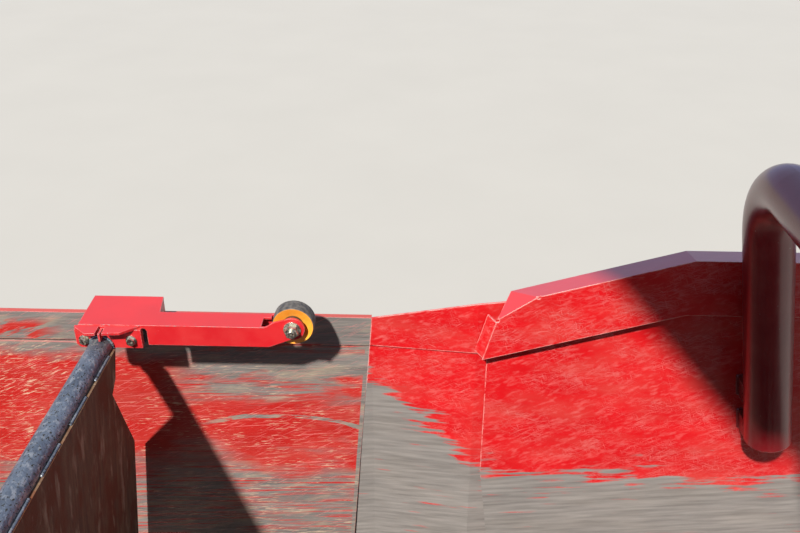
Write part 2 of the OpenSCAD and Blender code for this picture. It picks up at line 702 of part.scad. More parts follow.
// Hoop over the discharge section: two legs, two elbows and the top run, as thick as r
module hoop_path(r, leg) {
  elbow = 145;
  half = lift_y - hoop_d / 2 - 4;
  rotate([90, 0, 0]) translate([0, 0, elbow - half]) cylinder(r = r, h = 2 * (half - elbow));
  both_sides() {
    translate([0, half, -elbow - leg]) cylinder(r = r, h = leg);
    translate([0, half - elbow, -elbow]) rotate([90, 0, 90])
      rotate_extrude(angle = 90) translate([elbow, 0]) circle(r = r);
  }
}

module guard_hoop() color(red)
  translate([lift_knee_x + 100, 0, hoop_top - hoop_hang]) rotate([0, -hoop_lean, 0])
  translate([0, 0, hoop_hang]) {
    difference() {
      hoop_path(hoop_d / 2, 510);
      hoop_path(hoop_d / 2 - 5, 512);
    }
    // Weld pads against the side walls
    both_sides() for (z = [-560, -655])
      translate([-40, lift_y - 12, z - 25]) cube([80, lift_outer_y - lift_y + 12, 50]);
  }

// Brackets that carry the cylinder rods' pins, welded to the lower sheets
module rod_brackets() color(red) both_sides() {
  y0 = lift_outer_y + sheet;
  difference() {
    union() {
      along_y([[rod_pin_x - 130, rod_pin_z - 84], [rod_pin_x + 40, rod_pin_z - 40],
               [rod_pin_x + 40, rod_pin_z + 40], [rod_pin_x - 20, rod_pin_z + 60],
               [rod_pin_x - 130, rod_pin_z + 20]], y0, y0 + 12);
      round_y(rod_pin_x, rod_pin_z, 34, y0, cyl_y - 28);
    }
  }
  round_y(rod_pin_x, rod_pin_z, pin_r, y0, cyl_y + 34);
  round_y(rod_pin_x, rod_pin_z, 24, cyl_y + 27, cyl_y + 33);
}

// Places a cylinder's own axis, with its foot pin at the origin and X along the rod
module on_cylinder() {
  translate([foot_pin_x, cyl_y, foot_pin_z]) rotate([0, -cyl_angle, 0]) children();
}

module bar(x0, x1, r) translate([x0, 0, 0]) rotate([0, 90, 0]) cylinder(r = r, h = x1 - x0);

// Barrel with its foot eye, end cap, gland and two ports
module barrel() on_cylinder() difference() {
  union() {
    rotate([90, 0, 0]) translate([0, 0, -18]) cylinder(r = 26, h = 36);
    bar(22, 60, 20);
    bar(56, barrel_len, barrel_d / 2);
    bar(barrel_len - 46, barrel_len, barrel_d / 2 + 4);
    for (x = [84, barrel_len - 24])
      translate([x, 0, 0]) cylinder(r = 10, h = barrel_d / 2 + 16);
  }
  rotate([90, 0, 0]) translate([0, 0, -20]) cylinder(r = pin_r + running, h = 40);
  bar(80, barrel_len + 1, rod_d / 2 + running);
}

// Rod with its eye
module rod() on_cylinder() difference() {
  union() {
    bar(150, cyl_len - 25, rod_d / 2);
    translate([cyl_len, 0, 0]) rotate([90, 0, 0]) translate([0, 0, -22])
      cylinder(r = 32, h = 44);
  }
  translate([cyl_len, 0, 0]) rotate([90, 0, 0]) translate([0, 0, -24])
    cylinder(r = pin_r + 6, h = 48);
}

module front_barrel() color(dark) barrel();
module rear_barrel() color(dark) mirror([0, 1, 0]) barrel();
module front_rod() color(steel) rod();
module rear_rod() color(steel) mirror([0, 1, 0]) rod();

underframe();
front_wall();
rear_wall();
front_extension();
rear_extension();
end_wall();
front_posts();
rear_posts();
floor_skirts();
floor_conveyor();
floor_head_shaft();
floor_tail_shaft();
slide_rails();
floor_motor();
transfer_plate();
flap_bearings();
pivot_bearings();
cylinder_feet();
flap_tube();
flap_panel();
front_arm();
rear_arm();
flap_brackets();
arm_bolts();
front_roller();
rear_roller();
lift_front_wall();
lift_rear_wall();
lift_frame();
lift_conveyor();
lift_head_shaft();
lift_tail_shaft();
lift_motor();
guard_hoop();
rod_brackets();
front_barrel();
rear_barrel();
front_rod();
rear_rod();
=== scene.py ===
"""Looks of a potato harvester's bunker around its CAD frame: finishes, fasteners, welds, stage."""

import math
import random

import bmesh
import bpy
from bpy.props import FloatProperty, FloatVectorProperty, IntProperty, PointerProperty
from mathutils import Matrix, Vector


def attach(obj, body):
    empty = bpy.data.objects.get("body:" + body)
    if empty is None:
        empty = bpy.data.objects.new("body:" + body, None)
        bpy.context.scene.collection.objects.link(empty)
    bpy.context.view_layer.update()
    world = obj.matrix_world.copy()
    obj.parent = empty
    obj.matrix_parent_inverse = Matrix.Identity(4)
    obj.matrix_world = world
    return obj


bl_info = {
    "name": "Potato bunker looks",
    "version": (1, 0, 0),
    "blender": (4, 5, 0),
    "location": "3D View > Sidebar > Bunker",
    "description": "Finishes, fasteners, welds and stage of a potato harvester's bunker",
    "category": "Object",
}

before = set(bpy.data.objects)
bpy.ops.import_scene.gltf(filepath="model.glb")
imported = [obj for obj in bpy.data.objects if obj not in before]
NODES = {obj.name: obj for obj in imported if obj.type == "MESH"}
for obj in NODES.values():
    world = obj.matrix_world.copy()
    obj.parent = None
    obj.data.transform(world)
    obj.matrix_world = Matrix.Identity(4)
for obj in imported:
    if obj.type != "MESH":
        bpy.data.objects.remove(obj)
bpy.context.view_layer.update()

# Places of the CAD model that small parts and wear line up with, in metres: the flap's tube, the
# rollers, the discharge section's pivot, the floor conveyor's shafts, the runs and radii of both
# conveyors' loops, the hoop's foot line, and the frame's beams, feet, posts and rails.
TUBE_X, TUBE_Z = -0.694, 1.47
ROLLER_X, ROLLER_Z = -0.274, 1.517
PIVOT_X, PIVOT_Z = 0.34, 0.33
TAIL_X, HEAD_X, FLOOR_Z = -1.33, 0.11, 0.34
FLOOR_RUN, FLOOR_RADIUS = 1.44, 0.076
LIFT_RUN, LIFT_RADIUS = 1.33, 0.066
HOOP_X, HOOP_Z = 0.665, 1.838
CROSS_BEAMS_X, FEET_X = (-1.25, -0.62, -0.04, 0.40), (-0.62, 0.62)
LONG_BEAM_Y, BEAM_EDGE = 0.52, 0.0415
POSTS = ((-1.25, 0.2015), (-0.62, 0.2015), (-0.16, 0.2135))
RAIL_EDGES_Z, RAILS_END_X = (0.6055, 0.6345, 1.2255, 1.2545), -0.15
END_POSTS_Y = (-0.56, 0.0, 0.56)
BELT_Y = (-0.6, 0.0, 0.6)
BELT_WIDTH, BELT_DEPTH = 0.06, 0.01
SLAT_PITCH, SLAT_TOP = 0.084, 0.014
LAST_RIVET_X = 1.683
CREASE_Z = 1.40
SLOPE = math.radians(16.3)
PANEL_LEAN = math.radians(6.0)
HOOP_LEAN = math.radians(11.0)

# An M10 head's height, the sides of round heads and of weld beads, and a mirrored pair's factors.
M10_HEIGHT = 0.0064
HEAD_SIDES = 24
BEAD_SIDES = 8
MIRRORED = (-1, 1)

# Stage: the way of the sunlight, the card's corners where its shade falls on the wall, how many
# beam vectors it stands back from there, the surroundings' colours, and the camera's sensor in mm.
BEAM = Vector((0.42, 1.0, -1.10))
SHADE_CARD = ((0.57, 0.74, 1.45), (0.78, 0.74, 1.2), (1.75, 0.74, 1.2), (1.75, 0.74, 2.25),
              (-0.12, 0.74, 2.25))
CARD_AWAY = 0.9
SUNLIGHT = (1.0, 0.97, 0.92)
SKY_FILL, SKY_GLEAM, SKY_SEEN = (0.80, 0.90, 1.0), (0.48, 0.58, 0.95), (0.82, 0.83, 0.85)
FLOOR_HALF = 60.0
SENSOR = 36.0


def linear(text):
    """Turns an sRGB hex value into linear RGB."""
    parts = [int(text[i:i + 2], 16) / 255 for i in (1, 3, 5)]
    return tuple(c / 12.92 if c <= 0.04045 else ((c + 0.055) / 1.055) ** 2.4 for c in parts)


def colour(name, text, about):
    """A colour property with its sRGB hex default."""
    return FloatVectorProperty(name=name, description=about, subtype="COLOR", size=3,
                               min=0.0, max=1.0, default=linear(text))


def length(name, metres, about):
    """A length property with its default in metres."""
    return FloatProperty(name=name, description=about, default=metres, unit="LENGTH",
                         precision=4, min=0.0)


def angle(name, degrees, about):
    """An angle property with its default in degrees."""
    return FloatProperty(name=name, description=about, subtype="ANGLE",
                         default=math.radians(degrees))


def amount(name, value, about, least=0.0):
    """A plain number property."""
    return FloatProperty(name=name, description=about, default=value, min=least)


class BunkerColours(bpy.types.PropertyGroup):
    """Paints, metals and dirt."""
    frame_red: colour("Frame red", "#9c201d", "Enamel of frame, posts and outer faces")
    wall_red: colour("Wall red", "#b3231f", "Enamel of the fixed side walls, rubbed by the crop")
    bright_red: colour("Bright red", "#c8141a", "Newer enamel of extensions and discharge section")
    gloss_red: colour("Lever red", "#c8121c", "Glossy enamel of levers and brackets")
    # Painted shade: the hoop's red is darker than the other reds, as if it stood in shade.
    hoop_red_with_painted_shade: colour("Hoop red", "#760b16", "Dark glossy enamel of the guard hoop")
    # This colour also paints the pale highlight just under the fixed walls' crease.
    scratch_and_crease_highlight: colour("Scratched red", "#e08a86", "Paint broken by a fine scratch")
    bare: colour("Bare steel", "#9a948f", "Sheet rubbed free of paint")
    dust: colour("Dust", "#b9a994", "Dry light soil dust")
    soil: colour("Soil", "#84715c", "Dried soil that sticks in corners")
    rust: colour("Rust", "#6b3a20", "Brown rust on unpainted sheet")
    steel: colour("Steel", "#8a8884", "Turned or rolled steel")
    zinc: colour("Zinc", "#d2cfc2", "Zinc plating")
    iron: colour("Cast iron", "#4a4a4c", "Painted cast housings")
    black: colour("Black enamel", "#17181a", "Barrels of the cylinders")
    rubber: colour("Rubber", "#1d1c1b", "Belt strands and roller tread")
    roller: colour("Roller", "#f7a83c", "Cast polyurethane of the rollers")
    floor: colour("Floor", "#acaaa6", "Plain floor of the stage")


class BunkerSizes(bpy.types.PropertyGroup):
    """Sizes of the small parts and patterns."""
    bead: length("Weld bead", 0.0035, "Radius of a fillet weld bead")
    ripple: length("Weld ripple", 0.005, "Distance from ripple to ripple of a bead")
    edge: length("Edge rounding", 0.0012, "Rounding of sheet edges under the paint")
    m10: length("M10 head", 0.016, "Width across flats of an M10 head")
    screw: length("Motor screw", 0.010, "Width across flats of a motor's end screw")
    rivet: length("Rivet head", 0.010, "Diameter of a slat rivet's head")
    seed: IntProperty(name="Seed", description="Start value of the small turns of bolts", default=7)


class BunkerStage(bpy.types.PropertyGroup):
    """Camera and lights."""
    place: FloatVectorProperty(name="Camera place", description="Place of the camera",
                               subtype="XYZ", unit="LENGTH", size=3,
                               default=(0.0068, -0.8574, 2.5527))
    pitch: angle("Pitch", 28.863, "How far the camera looks down")
    yaw: angle("Yaw", 1.741, "Turn of the camera to the left")
    roll: angle("Roll", 0.152, "Roll of the camera")
    lens: amount("Focal length", 39.58, "Focal length in mm on a 36 mm wide frame", 10.0)
    key: amount("Key light", 7.3, "Strength of the key light")
    soft: angle("Softness", 2.5, "Angle under which the key light shows")
    fill: amount("Fill", 0.22, "Strength of the plain surrounding light")
    gleam: amount("Gleam", 0.9, "Strength of the surroundings in reflections")


# What a Mix node takes to mix colours. Inputs by number: a Mix has its mask at 0 and its colours at
# 6 and 7, and a MapRange its value at 0, the range it comes from at 1 and 2, the new at 3 and 4.
COLOURS = {"out": 2, "data_type": "RGBA"}


def add(tree, kind, inputs=None, out=0, **settings):
    """Adds one shader node with its settings and links, and returns one of its outputs."""
    made = tree.nodes.new("ShaderNode" + kind)
    for name, value in settings.items():
        setattr(made, name, value)
    for key, value in (inputs or {}).items():
        socket = made.inputs[key]
        if isinstance(value, bpy.types.NodeSocket):
            tree.links.new(value, socket)
        elif socket.type == "RGBA" and len(value) == 3:
            socket.default_value = (*value, 1.0)
        else:
            socket.default_value = value
    return made.outputs[out]


def paints():
    """The colours set in the panel."""
    return bpy.context.scene.bunker_colours


def new_finish(name):
    """An empty material, its tree and its object coordinates."""
    made = bpy.data.materials.new(name)
    made.use_nodes = True
    tree = made.node_tree
    tree.nodes.clear()
    return made, tree, add(tree, "TexCoord", out="Object")


def close_finish(tree, tone, rough, metal=0.0, height=None, depth=0.0, edge=None, more=None):
    """Joins the values to the shader, with a rounded edge and a bump of that depth in metres."""
    edge = edge or bpy.context.scene.bunker_sizes.edge
    normal = add(tree, "Bevel", {"Radius": edge}, samples=4)
    if height is not None:
        normal = add(tree, "Bump",
                     {"Height": height, "Distance": depth, "Strength": 1.0, "Normal": normal})
    shader = add(tree, "BsdfPrincipled",
                 {"Base Color": tone, "Roughness": rough, "Metallic": metal, "Normal": normal,
                  **(more or {})})
    last = tree.nodes.new("ShaderNodeOutputMaterial")
    tree.links.new(shader, last.inputs["Surface"])


def marks(tree, place, size, low, high, turn=0.0, detail=3.0, warp=0.0):
    """A mask of marks, turned in the wall's plane, of a size in mm: their length, depth and height,
    or one number for all three."""
    sides = size if isinstance(size, tuple) else (size, size, size)
    spot = add(tree, "Mapping",
               {"Vector": place, "Rotation": (0.0, turn, 0.0), "Scale": [s / 1000 for s in sides]},
               vector_type="TEXTURE")
    cloud = add(tree, "TexNoise",
                {"Vector": spot, "Scale": 1.0, "Detail": detail, "Roughness": 0.55,
                 "Distortion": warp})
    return add(tree, "MapRange", {0: cloud, 1: low, 2: high})


def darker(tone, share):
    """That share of a colour."""
    return [c * share for c in tone]


def worn_edges(tree, width):
    """A mask that is 1 along edges and corners, up to that width in metres."""
    sharp = add(tree, "NewGeometry", out="Normal")
    soft = add(tree, "Bevel", {"Radius": width}, samples=4)
    same = add(tree, "VectorMath", {0: sharp, 1: soft}, out="Value", operation="DOT_PRODUCT")
    return add(tree, "MapRange", {0: same, 1: 0.98, 2: 0.75})


def most(tree, *masks):
    """The strongest of several masks."""
    top = masks[0]
    for mask in masks[1:]:
        top = add(tree, "Math", {0: top, 1: mask}, operation="MAXIMUM", use_clamp=True)
    return top


def both(tree, *masks):
    """Several masks multiplied."""
    top = masks[0]
    for mask in masks[1:]:
        top = add(tree, "Math", {0: top, 1: mask}, operation="MULTIPLY", use_clamp=True)
    return top


def facing_up(tree):
    """A mask of the faces that look up, where dust settles."""
    return add(tree, "MapRange",
               {0: add(tree, "SeparateXYZ", {0: add(tree, "NewGeometry", out="Normal")}, out="Z"),
                1: 0.35, 2: 0.95})


def dusted(tree, tone, haze, on_top):
    """A dust mask, raised to that much on what looks up, and the colour under that dust."""
    haze = most(tree, haze,
                add(tree, "Math", {0: facing_up(tree), 1: on_top}, operation="MULTIPLY"))
    return haze, add(tree, "Mix", {0: haze, 6: tone, 7: paints().dust}, **COLOURS)


def inner_face(tree, y):
    """A mask of the wall faces that look to the middle of the bunker."""
    across = add(tree, "SeparateXYZ", {0: add(tree, "NewGeometry", out="Normal")}, out="Y")
    return add(tree, "MapRange",
               {0: add(tree, "Math", {0: across, 1: y}, operation="MULTIPLY"), 1: -0.05, 2: -0.45})


# Enamel sprayed on pressed steel: a satin red skin, dulled by dust on what looks up, with small
# chips along the edges that show grey steel and with a slightly wavy film.
def frame_enamel(name, paint):
    look = paints()
    made, tree, place = new_finish(name)
    red = add(tree, "Mix",
              {0: marks(tree, place, 260, 0.35, 0.7), 6: darker(paint, 0.86), 7: paint}, **COLOURS)
    film = marks(tree, place, 90, 0.42, 0.62, detail=6.0)
    settled = both(tree, facing_up(tree), marks(tree, place, 120, 0.25, 0.6, detail=6.0))
    grime = most(tree, add(tree, "Math", {0: settled, 1: 0.35}, operation="MULTIPLY"),
                 add(tree, "Math", {0: film, 1: 0.16}, operation="MULTIPLY"))
    tone = add(tree, "Mix", {0: grime, 6: red, 7: look.dust}, **COLOURS)
    chips = both(tree, worn_edges(tree, 0.004), marks(tree, place, 9, 0.5, 0.6))
    tone = add(tree, "Mix", {0: chips, 6: tone, 7: look.bare}, **COLOURS)
    skin = add(tree, "MapRange", {0: grime, 3: 0.42, 4: 0.85})
    peel = marks(tree, place, 3, 0.3, 0.7, detail=2.0)
    close_finish(tree, tone, skin, chips, peel, 0.00012,
                 more={"Coat Weight": 0.15, "Coat Roughness": 0.25})
    return made


def rubbed_by_crop(tree, place, x, z):
    """Where a fixed wall is bare: the strip above the crease apart from some paint at its left end,
    a band on the left below it, patches, a long rub and a groove in an arc on the right, and the
    wall's lower part."""
    strip = add(tree, "MapRange", {0: z, 1: CREASE_Z - 0.001, 2: CREASE_Z + 0.002})
    kept = both(tree, add(tree, "MapRange", {0: x, 1: -0.83, 2: -0.90}),
                add(tree, "MapRange", {0: z, 1: 1.462, 2: 1.44}),
                marks(tree, place, (120, 60, 20), 0.47, 0.53, -0.3, 6.0))
    strip = both(tree, strip, add(tree, "MapRange", {0: kept, 3: 1.0, 4: 0.0}))
    ragged = marks(tree, place, (150, 50, 40), 0.25, 0.75, -0.25, 7.0)
    lifted = add(tree, "Math", {0: ragged, 1: 0.07, 2: z}, operation="MULTIPLY_ADD")
    band = both(tree, add(tree, "MapRange", {0: z, 1: CREASE_Z + 0.002, 2: CREASE_Z - 0.001}),
                add(tree, "MapRange", {0: lifted, 1: 1.372, 2: 1.412}),
                add(tree, "MapRange", {0: x, 1: -0.38, 2: -0.44}))
    patches = both(tree, add(tree, "MapRange", {0: x, 1: -0.64, 2: -0.50}),
                   add(tree, "MapRange", {0: lifted, 1: 1.24, 2: 1.29}),
                   marks(tree, place, (230, 60, 60), 0.40, 0.50, 0.05, 6.0))
    long_rub = both(tree, add(tree, "MapRange", {0: x, 1: -0.62, 2: -0.52}),
                    add(tree, "MapRange", {0: lifted, 1: 1.322, 2: 1.342}),
                    add(tree, "MapRange", {0: z, 1: 1.380, 2: 1.368}),
                    marks(tree, place, (260, 60, 90), 0.26, 0.36, 0.02, 6.0))
    low_edge = marks(tree, place, (300, 60, 110), 0.25, 0.75, detail=6.0)
    low = add(tree, "MapRange",
              {0: add(tree, "Math", {0: low_edge, 1: 0.4, 2: z}, operation="MULTIPLY_ADD"), 1: 1.30,
               2: 1.12})
    grain = marks(tree, place, (170, 40, 6), 0.36, 0.50, -0.04, 6.0)
    middle_x, top_z, bend, half_width = -0.343, 1.190, 0.75, 0.0055
    off = add(tree, "Math", {0: x, 1: -middle_x}, operation="ADD")
    arc = add(tree, "Math",
              {0: add(tree, "Math", {0: off, 1: off}, operation="MULTIPLY"), 1: bend, 2: z},
              operation="MULTIPLY_ADD")
    arc = add(tree, "Math", {0: marks(tree, place, (90, 40, 30), 0.2, 0.8), 1: 0.012, 2: arc},
              operation="MULTIPLY_ADD")
    groove = add(tree, "Math", {0: arc, 1: top_z, 2: half_width}, operation="COMPARE")
    groove = both(tree, groove, add(tree, "MapRange", {0: x, 1: -0.56, 2: -0.47}),
                  marks(tree, place, (60, 40, 12), 0.36, 0.46, detail=6.0))
    return most(tree, strip, band, both(tree, patches, grain), long_rub, both(tree, low, grain),
                groove)


def flecked_by_crop(tree, place, x, z):
    """Short flecks below the crease, the way the crop slides: rising steeply at the left end."""
    steep = marks(tree, place, (30, 12, 3.6), 0.58, 0.63, -0.42, 3.0, 0.3)
    steep = both(tree, steep, marks(tree, place, (110, 50, 70), 0.42, 0.56, -0.42, 4.0))
    flat = marks(tree, place, (36, 12, 2.6), 0.60, 0.65, -0.06, 3.0, 0.3)
    flat = both(tree, flat, marks(tree, place, (160, 50, 60), 0.40, 0.56, detail=4.0))
    left = add(tree, "MapRange", {0: x, 1: -0.72, 2: -0.80})
    return both(tree, most(tree, both(tree, steep, left), flat),
                add(tree, "MapRange", {0: z, 1: CREASE_Z + 0.002, 2: CREASE_Z - 0.001}))


# The same enamel on the fixed walls, rubbed by the crop: red with beige flecks and hair scratches,
# bare grey steel in bands and patches, a painted highlight under the crease and dust on top.
def wall_enamel(name):
    look = paints()
    made, tree, place = new_finish(name)
    x, y, z = (add(tree, "SeparateXYZ", {0: place}, out=axis) for axis in "XYZ")
    inside = inner_face(tree, y)
    red = add(tree, "Mix",
              {0: marks(tree, place, (300, 300, 120), 0.3, 0.7), 6: darker(look.wall_red, 0.82),
               7: look.wall_red}, **COLOURS)
    bare = add(tree, "Mix",
               {0: marks(tree, place, (190, 60, 9), 0.32, 0.68, detail=6.0),
                6: darker(look.bare, 0.48), 7: darker(look.bare, 0.8)}, **COLOURS)
    bare = add(tree, "Mix",
               {0: marks(tree, place, (120, 60, 30), 0.5, 0.72, -0.2, 6.0), 6: bare,
                7: darker(look.dust, 0.8)}, **COLOURS)
    seam = add(tree, "MapRange",
               {0: add(tree, "Math", {0: z, 1: -0.08, 2: x}, operation="MULTIPLY_ADD"), 1: -0.2385,
                2: -0.2375})
    rubbed = both(tree, most(tree, rubbed_by_crop(tree, place, x, z), seam), inside)
    tone = add(tree, "Mix", {0: rubbed, 6: red, 7: bare}, **COLOURS)
    fleck = both(tree, flecked_by_crop(tree, place, x, z), inside)
    tone = add(tree, "Mix",
               {0: add(tree, "Math", {0: fleck, 1: 0.8}, operation="MULTIPLY"), 6: tone,
                7: linear("#d2b79c")}, **COLOURS)
    scratch_and_crease_highlight = both(tree, inside,
                   most(tree, marks(tree, place, (90, 20, 1.3), 0.66, 0.70, -0.10, 1.0),
                        marks(tree, place, (60, 20, 1.3), 0.67, 0.71, -0.5, 1.0)))
    # Painted highlight: a pale line just under the crease, where the fold's edge catches light.
    crease = add(tree, "Math", {0: z, 1: 1.3905, 2: 0.0022}, operation="COMPARE")
    crease = both(tree, crease, inside, add(tree, "MapRange", {0: x, 1: -0.70, 2: -0.74}),
                  marks(tree, place, (120, 30, 20), 0.30, 0.42, detail=4.0))
    scratch_and_crease_highlight = most(tree, scratch_and_crease_highlight, crease)
    tone = add(tree, "Mix",
               {0: add(tree, "Math", {0: scratch_and_crease_highlight, 1: 0.6}, operation="MULTIPLY"), 6: tone,
                7: look.scratch_and_crease_highlight}, **COLOURS)
    haze = add(tree, "Math", {0: marks(tree, place, (240, 120, 70), 0.4, 0.8, detail=6.0), 1: 0.10},
               operation="MULTIPLY")
    haze, tone = dusted(tree, tone, haze, 0.16)
    line = both(tree, worn_edges(tree, 0.003), marks(tree, place, (60, 30, 12), 0.34, 0.5))
    tone = add(tree, "Mix",
               {0: add(tree, "Math", {0: line, 1: 0.8}, operation="MULTIPLY"), 6: tone,
                7: look.scratch_and_crease_highlight}, **COLOURS)
    rough = add(tree, "Math",
                {0: haze, 1: 0.6, 2: add(tree, "MapRange", {0: rubbed, 3: 0.36, 4: 0.55})},
                operation="MULTIPLY_ADD")
    height = add(tree, "Math",
                 {0: rubbed, 1: -0.5, 2: marks(tree, place, (30, 20, 4), 0.3, 0.7, detail=4.0)},
                 operation="MULTIPLY_ADD")
    close_finish(tree, tone, rough, add(tree, "Math", {0: rubbed, 1: 0.3}, operation="MULTIPLY"),
                 height, 0.0003)
    return made


# Newer enamel on the extensions and the discharge section: bright red, broken by hair-fine crossing
# scratches, pale along edges and creases, worn to brown-grey steel below a ragged line, which is
# given as its height over the frame's origin and its fall per metre to the right.
def bright_enamel(name, worn_from, fall):
    look = paints()
    made, tree, place = new_finish(name)
    x, y, z = (add(tree, "SeparateXYZ", {0: place}, out=axis) for axis in "XYZ")
    inside = inner_face(tree, y)
    red = add(tree, "Mix",
              {0: marks(tree, place, (200, 200, 80), 0.3, 0.7), 6: darker(look.bright_red, 0.84),
               7: look.bright_red}, **COLOURS)
    fine = most(tree, marks(tree, place, (34, 12, 1.1), 0.64, 0.70, 0.35, 1.0),
                marks(tree, place, (28, 12, 1.1), 0.64, 0.70, -0.6, 1.0),
                marks(tree, place, (50, 12, 1.1), 0.64, 0.70, -0.15, 1.0),
                marks(tree, place, (24, 12, 1.1), 0.66, 0.71, 1.2, 1.0))
    fine = both(tree, fine, inside, marks(tree, place, (90, 60, 50), 0.40, 0.62, detail=4.0))
    scuff = both(tree, inside, marks(tree, place, (26, 14, 9), 0.52, 0.76, -0.4, 6.0))
    broken = most(tree, add(tree, "Math", {0: fine, 1: 0.5}, operation="MULTIPLY"),
                  add(tree, "Math", {0: scuff, 1: 0.36}, operation="MULTIPLY"))
    tone = add(tree, "Mix", {0: broken, 6: red, 7: look.scratch_and_crease_highlight}, **COLOURS)
    edge = both(tree, worn_edges(tree, 0.0045), marks(tree, place, (30, 30, 12), 0.34, 0.5))
    tone = add(tree, "Mix", {0: edge, 6: tone, 7: linear("#f0b9b2")}, **COLOURS)
    line = add(tree, "Math",
               {0: marks(tree, place, (110, 60, 40), 0.2, 0.8, -0.1, 7.0), 1: 0.12,
                2: add(tree, "Math", {0: x, 1: fall, 2: z}, operation="MULTIPLY_ADD")},
               operation="MULTIPLY_ADD")
    worn = add(tree, "MapRange", {0: line, 1: worn_from + 0.10, 2: worn_from})
    streak = marks(tree, place, (150, 60, 10), 0.25, 0.65, -0.05, 7.0)
    worn = both(tree, inside,
                add(tree, "MapRange",
                    {0: add(tree, "Math", {0: worn, 1: streak}, operation="ADD"), 1: 1.0, 2: 1.3}))
    steel = add(tree, "Mix",
                {0: marks(tree, place, (140, 60, 9), 0.32, 0.68, -0.1, 6.0),
                 6: darker(look.bare, 0.6), 7: look.bare}, **COLOURS)
    tone = add(tree, "Mix", {0: worn, 6: tone, 7: steel}, **COLOURS)
    haze = add(tree, "Math",
               {0: marks(tree, place, (160, 120, 60), 0.45, 0.8, detail=6.0), 1: 0.10},
               operation="MULTIPLY")
    haze, tone = dusted(tree, tone, haze, 0.08)
    rough = add(tree, "MapRange", {0: most(tree, worn, haze), 3: 0.28, 4: 0.6})
    height = add(tree, "Math", {0: fine, 1: -1.0, 2: marks(tree, place, (40, 40, 30), 0.3, 0.7)},
                 operation="MULTIPLY_ADD")
    close_finish(tree, tone, rough, add(tree, "Math", {0: worn, 1: 0.3}, operation="MULTIPLY"),
                 height, 0.0002, more={"Coat Weight": 0.3, "Coat Roughness": 0.25})
    return made


# Thick glossy enamel of hoop and barrels, satin on the levers where the gloss is below 1: a smooth
# coat with a slight peel, a few small chips, pale lines along the edges and dust on what looks up.
def gloss_enamel(name, paint, dust=0.05, gloss=1.0):
    made, tree, place = new_finish(name)
    red = add(tree, "Mix", {0: marks(tree, place, 120, 0.3, 0.7), 6: darker(paint, 0.85), 7: paint},
              **COLOURS)
    chips = both(tree, worn_edges(tree, 0.004), marks(tree, place, 7, 0.54, 0.6))
    chips = most(tree, chips, marks(tree, place, 6, 0.73, 0.75))
    haze = add(tree, "Math", {0: marks(tree, place, 60, 0.4, 0.8, detail=6.0), 1: 0.05},
               operation="MULTIPLY")
    haze, tone = dusted(tree, red, haze, dust)
    line = both(tree, worn_edges(tree, 0.0025), marks(tree, place, (40, 30, 8), 0.40, 0.55))
    tone = add(tree, "Mix",
               {0: add(tree, "Math", {0: line, 1: 0.7}, operation="MULTIPLY"), 6: tone,
                7: linear("#f0a8a2")}, **COLOURS)
    tone = add(tree, "Mix", {0: chips, 6: tone, 7: paints().bare}, **COLOURS)
    rough = add(tree, "MapRange", {0: haze, 3: 0.30 / gloss, 4: 1.2})
    peel = marks(tree, place, 4, 0.3, 0.7, detail=2.0)
    close_finish(tree, tone, rough, chips, peel, 0.00008,
                 more={"Coat Weight": 0.45, "Coat Roughness": 0.24 / gloss})
    return made


# Folded steel slats rubbed by stones and soil: dull bright edges, brown soil film in between.
def slat_steel(name):
    look = paints()
    made, tree, place = new_finish(name)
    metal = add(tree, "Mix",
                {0: marks(tree, place, (14, 180, 14), 0.35, 0.65, detail=5.0),
                 6: darker(look.steel, 0.75), 7: look.steel}, **COLOURS)
    film = add(tree, "Math", {0: marks(tree, place, (90, 140, 90), 0.42, 0.62, detail=6.0), 1: 0.8},
               operation="MULTIPLY")
    tone = add(tree, "Mix", {0: film, 6: metal, 7: look.soil}, **COLOURS)
    tone = add(tree, "Mix",
               {0: worn_edges(tree, 0.003), 6: tone, 7: [min(1, c * 1.4) for c in look.steel]},
               **COLOURS)
    rough = add(tree, "MapRange", {0: film, 3: 0.38, 4: 0.9})
    shine = add(tree, "MapRange", {0: film, 3: 0.85, 4: 0.0})
    height = marks(tree, place, (8, 30, 8), 0.3, 0.7, detail=4.0)
    close_finish(tree, tone, rough, shine, height, 0.0002)
    return made


# Plain turned or rolled steel with a thin oil and dust film, fine level turning marks.
def turned_steel(name, base):
    made, tree, place = new_finish(name)
    ring = marks(tree, place, (60, 1.5, 60), 0.3, 0.7, detail=1.0)
    metal = add(tree, "Mix", {0: ring, 6: darker(base, 0.85), 7: base}, **COLOURS)
    dirt = add(tree, "Math", {0: marks(tree, place, 40, 0.4, 0.65, detail=6.0), 1: 0.4},
               operation="MULTIPLY")
    tone = add(tree, "Mix", {0: dirt, 6: metal, 7: paints().soil}, **COLOURS)
    shine = add(tree, "MapRange", {0: dirt, 3: 1.0, 4: 0.0})
    skin = add(tree, "MapRange", {0: dirt, 3: 0.38, 4: 0.95})
    close_finish(tree, tone, skin, shine, ring, 0.00005)
    return made


# Painted castings: grainy sand-cast skin under dark paint, dusty on top.
def cast_iron(name, base):
    made, tree, place = new_finish(name)
    grit = marks(tree, place, 2.5, 0.3, 0.7, detail=4.0)
    tone = add(tree, "Mix", {0: grit, 6: darker(base, 0.8), 7: base}, **COLOURS)
    dust = both(tree, facing_up(tree), marks(tree, place, 50, 0.25, 0.6, detail=6.0))
    film = marks(tree, place, 60, 0.45, 0.7, detail=6.0)
    dust = most(tree, add(tree, "Math", {0: dust, 1: 0.7}, operation="MULTIPLY"),
                add(tree, "Math", {0: film, 1: 0.3}, operation="MULTIPLY"))
    tone = add(tree, "Mix", {0: dust, 6: tone, 7: paints().dust}, **COLOURS)
    skin = add(tree, "MapRange", {0: dust, 3: 0.55, 4: 0.92})
    close_finish(tree, tone, skin, 0.0, grit, 0.0004, 0.002)
    return made


